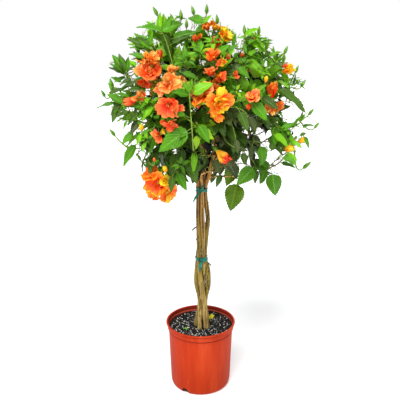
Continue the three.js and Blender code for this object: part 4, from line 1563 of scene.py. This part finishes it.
def add_hidden_blooms(garden):
    """Blooms and buds on the sides and back, each where a ray from the head's middle leaves the foliage."""
    draw = garden.draw
    for k in range(HIDDEN_BLOOMS + HIDDEN_BUDS):
        azimuth = draw.uniform(-0.12, 1.12) * math.pi
        rise = draw.uniform(-0.5, 1.1) if k < HIDDEN_BLOOMS else draw.uniform(-0.3, 1.45)
        way = np.array([math.cos(azimuth) * math.cos(rise), math.sin(azimuth) * math.cos(rise), math.sin(rise)])
        met = masses.ray_cast(Vector(HEAD + way * 0.7), Vector(-way))[0]
        place = None if met is None else np.array(met)
        if met is None or not within_outline(shown(place + NEAR_EDGE)).all():
            continue
        across, down = shown(place)
        if down < PLACED_ABOVE or (across > PLACED_RIGHT_OF and down > PLACED_BELOW):
            continue
        if across < PLACED_LEFT_OF and k < HIDDEN_BLOOMS:
            continue
        if k < HIDDEN_BLOOMS:
            kind, size = list(HIDDEN_SIZES.items())[k % len(HIDDEN_SIZES)]
            tint = "flame" if kind == "furled" else HIDDEN_TINTS[k % len(HIDDEN_TINTS)]
            axis = unit(way + 0.35 * draw.normal(size=3) + [0, 0, 0.15])
            garden.bloom(place - way * 0.012, axis, size, kind, tint)
        else:
            garden.green_bud(place - way * 0.02, unit(way + [0, 0, 0.9]), draw.uniform(0.02, 0.03))


# Leaves that stand out: foot and tip in the view, lean of the face towards the viewer, width, tone, the dark
# tones being painted shade.
PLAIN_LEAVES = [
    (236.5, 184.5, 230.5, 210.5, 0.9, 1.2, "olive"), (272.5, 174.5, 274.8, 196, 0.85, 1.2, "mid"),
    (279, 89.5, 308, 112, 0.5, 0.48, "deep"), (118, 104, 97, 103.5, 0.4, 0.5, "mid"),
    (120, 104, 112, 122, 0.7, 0.8, "deep"), (133, 133, 121.5, 143, 0.7, 0.8, "mid"),
    (187, 131, 158, 149, 0.8, 0.95, "mid"), (122, 103, 108, 93.5, 0.7, 0.8, "mid"),
    (199, 126, 209.5, 142, 0.8, 0.9, "mid"), (135.5, 145.5, 122.5, 165, 0.7, 0.65, "mid"),
    (177.5, 173.5, 186.7, 191, 0.8, 0.75, "mid"), (172.5, 176.5, 171, 192, 0.7, 0.75, "deep"),
    (253, 168.5, 237, 184, 0.8, 1.1, "mid"), (256, 170, 255, 183, 0.6, 0.8, "deep"),
    (266, 170, 259.5, 184, 0.7, 0.8, "mid"), (221, 175, 216, 187, 0.7, 0.75, "deep"),
    (269, 169, 252, 158, 0.8, 0.9, "mid"), (285, 155, 296, 165, 0.7, 0.85, "bright"),
    (245.5, 36, 258.5, 27, 0.6, 0.6, "bright"), (203, 21.5, 188.5, 18, 0.7, 1.2, "mid"),
    (204, 23, 212, 16, 0.6, 0.7, "bright"), (242, 68, 216, 72.5, 0.6, 0.75, "deep"),
    (247, 60, 265, 77, 0.7, 0.6, "bright"), (252, 40, 266.5, 52.5, 0.7, 0.8, "bright"),
    (262, 43.5, 272.5, 39, 0.5, 0.5, "mid"), (262, 47, 272.3, 42, 0.5, 0.4, "mid"),
    (240, 54, 248, 65, 0.7, 0.6, "deep"), (206, 79, 194, 89.5, 0.7, 0.52, "bright"),
    (262, 97, 278, 111, 0.7, 0.7, "deep"), (253, 103, 267, 120, 0.7, 0.95, "mid"),
    (240, 112, 248, 131, 0.8, 0.75, "deep"), (249, 117, 256.5, 131, 0.8, 0.75, "shade"),
    (274, 135, 289, 145.5, 0.6, 0.7, "bright"), (291.7, 145.5, 290.5, 132.5, 0.6, 0.5, "bright"),
    (282, 130, 293.5, 122.5, 0.6, 0.8, "mid"), (298, 121, 304.3, 114.8, 0.5, 0.7, "bright"),
    (302.8, 127, 314, 124.3, 0.5, 0.5, "mid"), (272, 149.5, 272, 140.5, 0.7, 1.2, "deep"),
    (282, 157.7, 296.6, 164, 0.5, 0.7, "mid"), (287, 154.5, 297.5, 159.5, 0.5, 0.8, "bright"),
    (304.3, 137, 309.3, 148, 0.5, 0.55, "mid"), (194.5, 152, 193.5, 173.5, 0.8, 0.5, "bright"),
    (203.5, 156, 198, 172, 0.8, 0.9, "deep"), (190, 163, 196.5, 183, 0.8, 0.9, "deep"),
    (196, 160, 189, 177, 0.8, 0.8, "deep"), (206.5, 158, 202.5, 171, 0.8, 0.8, "shade"),
    (214, 160, 219, 173, 0.8, 0.9, "shade"), (200, 158, 196.5, 182, 0.8, 0.6, "gloom"),
    (161.5, 32, 137.5, 24, 0.6, 0.5, "mid"), (162, 31, 182, 21.5, 0.7, 0.95, "mid"),
    (171, 35, 180, 23, 0.7, 0.5, "bright"), (174, 38, 196.5, 31, 0.7, 0.6, "mid"),
    (163, 34, 171.5, 60, 0.7, 0.5, "deep"), (172, 44, 190, 34.5, 0.6, 0.5, "deep"),
    (159, 30, 160, 12, 0.7, 0.5, "bright"), (166, 30, 172, 14.5, 0.7, 0.6, "mid"),
    (149, 48, 128, 37, 0.7, 0.8, "deep"), (150, 48, 136, 31.5, 0.6, 0.7, "mid"),
    (149, 46, 153, 30, 0.6, 0.6, "mid"), (147, 49, 130, 47, 0.6, 0.6, "mid"),
    (126, 73.5, 109, 69, 0.6, 0.6, "deep"), (125, 72.5, 113, 54, 0.7, 0.75, "mid"),
    (126, 72.5, 119.5, 53, 0.6, 0.6, "deep"), (126.5, 73, 129, 57, 0.7, 0.6, "mid"),
    (127, 71, 134, 66, 0.6, 0.6, "deep"), (124, 74, 111.5, 62, 0.6, 0.6, "mid"),
    (125, 77.5, 114.5, 80.5, 0.6, 0.7, "mid"), (138, 82, 120.5, 87.5, 0.5, 0.5, "deep"),
    (122, 90, 109, 92, 0.5, 0.7, "deep"), (186, 60, 184, 45, 0.7, 0.6, "mid"),
    (176, 57, 188, 60, 0.7, 0.5, "deep"), (183, 73, 199, 79, 0.7, 0.6, "mid"),
    (243, 153, 245, 165, 0.7, 0.9, "deep"), (264, 116, 269, 130, 0.7, 0.7, "deep"),
    (258, 119, 253.5, 132, 0.7, 0.7, "shade"), (136, 116, 128, 125, 0.6, 0.5, "deep"),
    (138.5, 121, 131, 135, 0.7, 0.8, "shade"), (127, 121, 123.5, 129, 0.6, 0.5, "mid"),
    (141, 134, 137, 146, 0.7, 0.6, "bright"), (252, 146, 250, 160, 0.7, 0.7, "shade"),
    (236, 140, 238, 154, 0.7, 0.7, "shade"), (275, 60, 272, 51, 0.6, 0.5, "bright"),
    (276, 60, 278, 52.5, 0.6, 0.5, "mid"), (277, 61, 283.5, 52, 0.6, 0.45, "bright"),
    (278, 62, 285, 57, 0.6, 0.5, "mid"), (276, 63, 281, 69, 0.6, 0.6, "deep"),
    (243, 45, 247, 54, 0.6, 0.6, "mid"), (144, 58, 130, 52, 0.6, 0.7, "mid"),
    (142, 60, 132, 58, 0.6, 0.6, "deep"), (121, 82, 111, 78, 0.6, 0.8, "mid"),
    (139, 90, 127, 89, 0.6, 0.7, "deep"), (228, 52, 238, 44, 0.6, 0.7, "mid"),
    (219, 54, 229, 44, 0.7, 0.8, "mid"), (233, 46, 236, 33.5, 0.7, 0.5, "mid"),
    (227, 57, 234.5, 50, 0.7, 0.6, "bright"), (131, 79, 119.5, 83.5, 0.6, 0.6, "deep"),
    (130, 84, 119.5, 90.5, 0.6, 0.6, "mid"), (128, 97, 115, 92.5, 0.6, 0.5, "mid"),
    (137, 108, 125.5, 105.5, 0.6, 0.5, "mid"), (128, 111, 118, 118, 0.6, 0.6, "deep"),
    (150, 130, 140, 135, 0.6, 0.6, "mid"), (275, 146, 283, 154.5, 0.6, 0.7, "deep"),
    (293.5, 127, 297.5, 118, 0.6, 0.5, "mid"), (238, 68, 250, 77, 0.7, 0.8, "mid"),
    (248, 56, 258, 49, 0.6, 0.7, "bright"), (257, 92, 266, 84, 0.6, 0.7, "bright"),
    (270, 56, 280.5, 50.5, 0.6, 0.6, "bright"), (238, 148, 248, 150, 0.6, 0.6, "shade"),
    (291, 140.5, 301.5, 148.5, 0.6, 0.6, "bright"), (281, 163, 296, 167, 0.6, 0.5, "mid"),
]
# Shoot tips that show as whorls of leaves: place in the view, leaf length, how many leaves, tone.
WHORLS = [
    (143, 44, 0.03, 9, "mid"), (168, 28, 0.03, 9, "bright"), (255, 41, 0.042, 12, "bright"),
    (262, 60, 0.034, 10, "mid"), (229, 34, 0.024, 8, "fresh"), (200, 55, 0.038, 11, "bright"),
    (190, 88, 0.03, 8, "fresh"), (297, 86, 0.022, 8, "mid"), (119, 110, 0.03, 8, "mid"),
    (147, 141, 0.028, 8, "bright"), (181, 166, 0.028, 8, "bright"), (179, 21, 0.026, 8, "fresh"),
    (152, 27, 0.028, 9, "bright"), (243, 66, 0.034, 10, "bright"), (184, 62, 0.034, 10, "mid"),
    (236, 92, 0.026, 7, "fresh"), (212, 44, 0.03, 9, "bright"), (286, 128, 0.024, 7, "mid"),
    (139, 121, 0.026, 8, "mid"), (262, 73, 0.026, 8, "bright"), (143, 108, 0.024, 7, "mid"),
    (290, 143, 0.02, 6, "bright"),
]

BACK_PLANE = 0.045
# Leaves, most of them in the painted shade tones gloom and shade, that hang on this plane, behind the place
# where
# the stems part: foot, tip, tone, and a width for those that face the viewer.
BACK_LEAVES = [
    (207, 158, 203, 180, "gloom"), (201, 160, 198, 184, "shade"), (212, 158, 217, 176, "shade"),
    (196, 166, 192, 184, "shade"), (209, 152, 213, 168, "gloom"), (208, 141, 206, 159, "gloom"),
    (203, 150, 199, 166, "gloom"), (218, 152, 224, 168, "shade"), (205, 168, 206, 184, "gloom"),
    (235, 163, 226.5, 185.5, "olive", 0.95), (223, 161, 219.5, 175.5, "shade", 0.8),
    (214.5, 173, 210.5, 184, "deep", 0.8),
]


def hang(garden, foot, tip, facing, tone, blade, width):
    """A placed leaf from foot to tip, on a stalk from the nearest twig."""
    garden.foliage.leaf(foot, tip - foot, facing, np.linalg.norm(tip - foot), tone, blade, "near", width)
    garden.carry(foot, tip - foot, 0.0009)


def hang_plain_leaves(garden):
    """The leaves that stand out, their tips a little nearer to the viewer than their feet."""
    for across, down, to_across, to_down, lean, width, tone in PLAIN_LEAVES:
        foot = spot(across, down, 0.02)
        ray = sight(to_across, to_down)
        tip = CAMERA_AT + ray * ((foot - CAMERA_AT) @ AHEAD / (ray @ AHEAD)) - AHEAD * 0.008
        hang(garden, foot, tip, unit(-AHEAD * lean + UP * (1 - lean)), tone, int(across + down), width)


def hang_back_leaves(garden):
    """The leaves behind the place where the stems part, most of them dark as painted shade."""
    for across, down, to_across, to_down, tone, *width in BACK_LEAVES:
        foot, tip = on_plane(across, down, BACK_PLANE), on_plane(to_across, to_down, BACK_PLANE)
        facing = -AHEAD if width else unit(UP - AHEAD)
        hang(garden, foot, tip, facing, tone, int(across), *(width or [0.9]))


def leafy_whorls(garden):
    """Shoot tips with leaves all round them, the outer ones longest and flattest."""
    draw = garden.draw
    for across, down, length, count, tone in WHORLS:
        foot = spot(across, down, 0.01)
        up = unit(0.5 * unit(foot - HEAD) + UP * 0.7 - AHEAD * 0.3)
        garden.carry(foot, up, 0.0013)
        side = unit(np.cross(up, RIGHT + 0.1))
        other = np.cross(up, side)
        for k in range(count):
            share = 1 - 0.6 * k / count
            turned = k * GOLDEN + across
            around = side * math.cos(turned) + other * math.sin(turned)
            way = unit(around + up * (1.5 - 1.3 * share) + 0.12 * draw.normal(size=3))
            base = foot + way * 0.006 + up * 0.014 * (1 - share)
            shade = tone if draw.uniform() < 0.65 else ("fresh" if share < 0.6 else "mid")
            reach = length * share * draw.uniform(0.85, 1.15)
            sort = "young" if k > count * 0.6 else "plain"
            garden.foliage.leaf(base, way, unit(up + 0.4 * UP), reach, shade, k, sort, 0.85)


# Points of each in the view, from its foot; the arms with their radius.
BARE_ARMS = [
    ([(257, 146), (264, 141), (272, 136), (283, 126)], 0.0021),
    ([(269, 166.5), (276, 160), (284, 154.5), (293, 146)], 0.002),
]
BARE_PLANE = -0.05
PALE_SHOOTS = [[(172, 62), (168, 46), (163, 32), (157.5, 17)], [(138, 94), (131, 82), (126, 73)]]
PALE_RADIUS = 0.0015


def bare_twigs(garden):
    """The bare arms at the lower right, in an upright plane, and the pale shoots before the upper left."""
    for points, radius in BARE_ARMS:
        path = eased([on_plane(*point, BARE_PLANE) for point in points], 16, 3)
        garden.carry(path[0], path[1] - path[0], radius)
        tube(garden.wood, path, np.linspace(radius, radius * 0.6, 16), 7)
    for points in PALE_SHOOTS:
        path = eased([spot(*point, 0.016) for point in points], 16, 5)
        garden.carry(path[0], path[1] - path[0], PALE_RADIUS)
        tube(garden.stalks, path, np.linspace(PALE_RADIUS, 0.001, 16), 6)


TALL_SHOOT = [(193.3, 150), (192.5, 135), (191, 118), (190, 102), (189.5, 94)]
TALL_RADIUS = 0.0023
# Its leaves: number of the path's point, angle, stalk, length, tone and width.
TALL_LEAVES = [
    (23, 165, 0.004, 0.052, "mid", 0.85), (22, 40, 0.014, 0.06, "bright", 0.95),
    (16, 20, 0.018, 0.03, "fresh", 0.6), (12, 160, 0.02, 0.032, "mid", 0.8), (7, 200, 0.02, 0.03, "mid", 0.7),
]


def front_shoot(garden):
    """The tall pale shoot that rises in front of the head, with leaves on stalks to either side."""
    path = eased([spot(*point, 0.02) for point in TALL_SHOOT], 25, 8)
    tube(garden.stalks, path, np.linspace(TALL_RADIUS, 0.0012, 25), 8)
    garden.carry(path[0], path[1] - path[0], TALL_RADIUS)
    for i, angle, stalk, length, tone, width in TALL_LEAVES:
        way = heading(angle, 0.35)
        base = path[i] + way * stalk
        garden.foliage.stalk(path[i], base, 0.0009)
        garden.foliage.leaf(base, unit(way - [0, 0, 0.15]), -AHEAD + 0.5 * UP, length, tone, i, "near", width)
    tuft(garden.foliage, path[-1], UP, -AHEAD, 0.5, 0.3, garden.draw)
    garden.green_bud(path[-1], heading(88, 0.1), 0.03)


def clear_of_blooms(garden):
    """A test that the leaves pass which don't lie in or right in front of a bloom."""
    centres, axes, sizes = (np.array(column) for column in zip(*garden.clearings))
    to_eye = unit(CAMERA_AT - centres)

    def test(leaf):
        """Whether a leaf's middle is clear of every bloom, along the bloom's axis and along the view."""
        middle = leaf.base + unit(leaf.along) * leaf.length * 0.5
        apart = middle - centres
        distance = np.linalg.norm(apart, axis=1)
        for look in (axes, to_eye):
            ahead = (apart * look).sum(1)
            aside = np.sqrt(np.maximum(distance**2 - ahead**2, 0))
            if ((ahead > -0.01) & (ahead < 0.16) & (aside < sizes * 0.72)).any():
                return False
        return not (distance < sizes * 0.55).any()

    return test


# ---- ties, spurs, litter

def stems_at(z):
    """Each stem's middle and radius at a height."""
    return [(at_height(centres, z), np.interp(z, centres[:, 2], radii)) for centres, radii in stems.values()]


def girdle(z, count, half_height, off):
    """The taut line round the stems at a height: the outermost reach of any stem in each direction, and a
    gap more."""
    angle = np.arange(count) * TURN / count
    aim = np.stack([np.cos(angle), np.sin(angle)], 1)
    reach = np.full(count, -1.0)
    for level in np.linspace(z - half_height, z + half_height, 7):
        for centre, radius in stems_at(level):
            reach = np.maximum(reach, aim @ centre + radius)
    reach = reach + off
    slope = (np.roll(reach, -1) - np.roll(reach, 1)) / (2 * TURN / count)
    side = np.stack([-aim[:, 1], aim[:, 0]], 1)
    return reach[:, None] * aim + slope[:, None] * side


RIBBON_THICK = 0.0007


def ribbon(shape, path, across, width, crease):
    """A flat strip of even thickness along a path: four lengthwise rows each side, creased by a sine."""
    path = np.asarray(path, float)
    along = unit(np.gradient(path, axis=0))
    across = unit(across - (across * along).sum(1)[:, None] * along)
    out = np.cross(along, across)
    s = np.linspace(-0.5, 0.5, 5)
    width = np.broadcast_to(np.asarray(width, float).reshape(-1, 1), (len(path), 1))
    lift = crease * np.sin(9 * s[None] + 26 * np.linspace(0, 1, len(path))[:, None])
    face = path[:, None] + (width * s)[..., None] * across[:, None] + lift[..., None] * out[:, None]
    back = face - RIBBON_THICK * out[:, None]
    loop = np.concatenate([face, back[:, ::-1]], 1)
    count = loop.shape[1]
    faces = grid(len(path), count, closed=True)
    base = shape.count
    shape.add(loop.reshape(-1, 3), faces)
    index = np.arange(4)
    foot = np.stack([index, count - 1 - index, count - 2 - index, index + 1], 1)
    shape.faces.extend([foot[:, ::-1] + base, foot + base + (len(path) - 1) * count])


WRAP_POINTS = 64


def wrap(shape, z, tilt, width, off, crease):
    """One turn of ribbon round the stems, tilted across, following the taut line."""
    line = girdle(z, WRAP_POINTS, abs(tilt) * 0.02 + width / 2, off)
    lift = z + tilt * (line[:, 0] - line[:, 0].mean())
    path = np.concatenate([line, lift[:, None]], 1)
    path = np.concatenate([path, path[:1] + [0, 0, 0.0002]])
    ribbon(shape, path, np.tile(UP, (len(path), 1)), width, crease)
    return line[:, 1].min()


# For each tie its turns, as (height, tilt, width, gap to the stems, crease), its knot's place across and up,
# its knot's width, and its tails as points from the knot.
TIES = {
    "lower": (
        [(0.499, 0.05, 0.0078, 0.0012, 0.0005), (0.4935, -0.12, 0.0074, 0.0021, 0.0005)],
        (0.003, 0.4965), 0.0095,
        [[(-0.001, -0.004, -0.008), (-0.005, -0.007, -0.022), (-0.0055, -0.005, -0.043)],
         [(0.004, -0.002, -0.001), (0.009, -0.003, -0.002), (0.0165, -0.001, 0.0035)]]),
    "upper": (
        [(0.7515, -0.34, 0.0066, 0.0012, 0.0004), (0.7505, 0.16, 0.0046, 0.002, 0.0004)],
        (0.001, 0.7515), 0.007,
        [[(-0.006, -0.005, -0.008), (-0.017, -0.007, -0.02), (-0.028, -0.004, -0.042)],
         [(0.003, -0.003, 0.006), (0.006, -0.004, 0.013), (0.0115, -0.002, 0.0235)]]),
}


def make_ties():
    """Each tie's turns of ribbon with a knot at the front."""
    for name, (turns, (across, height), width, tails) in TIES.items():
        shape = Shape()
        front = min([wrap(shape, *turn) for turn in turns])
        knot_and_tails(shape, np.array([across, front - 0.001, height]), width, tails)
        put(f"ribbon_{name}", shape, "ribbon", [f"tie_{name}"])


KNOT_POINTS, TAIL_POINTS = 13, 22


def knot_and_tails(shape, at, width, tails):
    """A bulging crossed knot with ribbon tails that narrow to a slanted end."""
    for tilt in (0.6, -0.7):
        t = np.linspace(-1, 1, KNOT_POINTS)
        across = np.stack([0.0058 * t * math.cos(tilt), -0.0026 * (1 - t**2), 0.0058 * t * math.sin(tilt)], 1)
        side = np.tile([-math.sin(tilt), 0, math.cos(tilt)], (KNOT_POINTS, 1))
        ribbon(shape, at + across, side, width * 0.8, 0.0005)
    share = np.linspace(0, 1, TAIL_POINTS)
    for tail in tails:
        path = eased(np.concatenate([[at], at + np.array(tail)]), TAIL_POINTS, 5)
        side = unit(np.cross(np.gradient(path, axis=0), [0, 1, 0]))
        ribbon(shape, path, side, width * np.interp(share, [0, 0.25, 0.7, 1], [0.55, 0.95, 1.1, 0.3]), 0.0008)


# Height, side (1 right, -1 left), how far the tip lies from the foot across and up, and radius.
SPURS = [
    (0.617, -1, -0.018, -0.014, 0.003), (0.572, -1, -0.006, -0.003, 0.0028), (0.476, 1, 0.014, -0.012, 0.003),
    (0.7, 1, 0.006, 0.005, 0.0018), (0.36, -1, -0.006, 0.003, 0.0018),
]
SPUR_ROOT = 0.003


def make_spurs():
    """Stubs of old side shoots on the outermost stem of that side, each starting inside the bark."""
    shape = Shape()
    for height, side, across, up, radius in SPURS:
        reach, centre = max(((side * centre[0] + stem, centre) for centre, stem in stems_at(height)),
                            key=lambda pair: pair[0])
        start = np.array([side * (reach - SPUR_ROOT), centre[1], height])
        end = start + [across, -0.002, up]
        middle = (start + end) / 2 + [0, 0, 0.002]
        tube(shape, curve(start, middle, end, 7), np.linspace(radius, radius * 0.75, 7), 7)
    put("stem_spurs", shape, "stub")


def on_mix(x, y, sunk):
    """A place on the potting mix, sunk a little into it."""
    foot = np.array([x, y, 0.0])
    foot[2] = MIX_TOP + mix_height(foot) - sunk
    return foot


def make_fallen_petal():
    """Two yellow petals from one foot, one behind the other, leaning on the mix."""
    fallen = Shape()
    foot = on_mix(0.0415, 0.046, 0.001)
    for lean, across, size in ((0.75, 0.1, 0.025), (1.1, -0.4, 0.022)):
        skin, surface = petal_skin(size, 0.011, lean, lean + 0.5, 0.003, 1.0 + across, cup=0.3)
        turn = np.stack([unit(np.array([across, 0.9, 0])), np.array([-1.0, across, 0]), UP], -1)
        fallen.add(skin @ turn.T + foot, grid(PETAL_ROWS, PETAL_COLUMNS), surface)
    put("fallen_petal", fallen, "petal_lemon")


def make_seedling():
    """A seedling's stalk with its first four leaves."""
    sprout = Shape()
    foot = on_mix(-0.055, -0.03, 0.002)
    top = foot + [0.001, 0, 0.011]
    tube(sprout, curve(foot, foot + [0.003, 0, 0.007], top, 6), np.full(6, 0.0007), 6)
    blade = leaf_blade(0.3, 0.3, 0.3, 0.02, stations=7)[:2]
    for k in range(4):
        way = np.array([[math.cos(k * 1.7), math.sin(k * 1.7), 0.25]])
        scatter(sprout, blade, [top], axes_from(way, UP[None]) * 0.01)
    put("seedling", sprout, "mid")


# ---- making it all

OUT_MOST = 0.03  # how far a leaf's tip may stand out of the foliage masses


def make_head(bough_ends):
    """The twigs with all that grows on them. Leaves that stand too far out, spoil the view's outline and
    openings or hide a bloom go before the listed ones are added."""
    draw = np.random.default_rng(2024)
    tops = [(centres[-1], unit(centres[-1] - centres[-3]), radii[-1]) for centres, radii in stems.values()]
    skeleton = Skeleton(tops + bough_ends, draw)
    foliage = Foliage()
    leaf_out(skeleton, foliage, draw)
    garden = Garden(skeleton, foliage)
    dress(garden)
    garden.leafy = False
    clear = clear_of_blooms(garden)
    foliage.keep(lambda leaf: beyond(leaf.base + unit(leaf.along) * leaf.length) < OUT_MOST)
    foliage.keep_shown()
    foliage.keep(clear)
    hang_plain_leaves(garden)
    hang_back_leaves(garden)
    leafy_whorls(garden)
    front_shoot(garden)
    bare_twigs(garden)
    make_twigs(skeleton)
    foliage.make_leaves()
    foliage.make_stalks()
    garden.make()
    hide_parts(*MASS_NAMES)


set_camera()
set_lamps()
set_surroundings()
lay_floor()
make_pot()
make_mix()
strew_chips()
make_stems()
make_ties()
make_spurs()
make_fallen_petal()
make_seedling()
make_head(make_boughs())

bpy.context.view_layer.update()
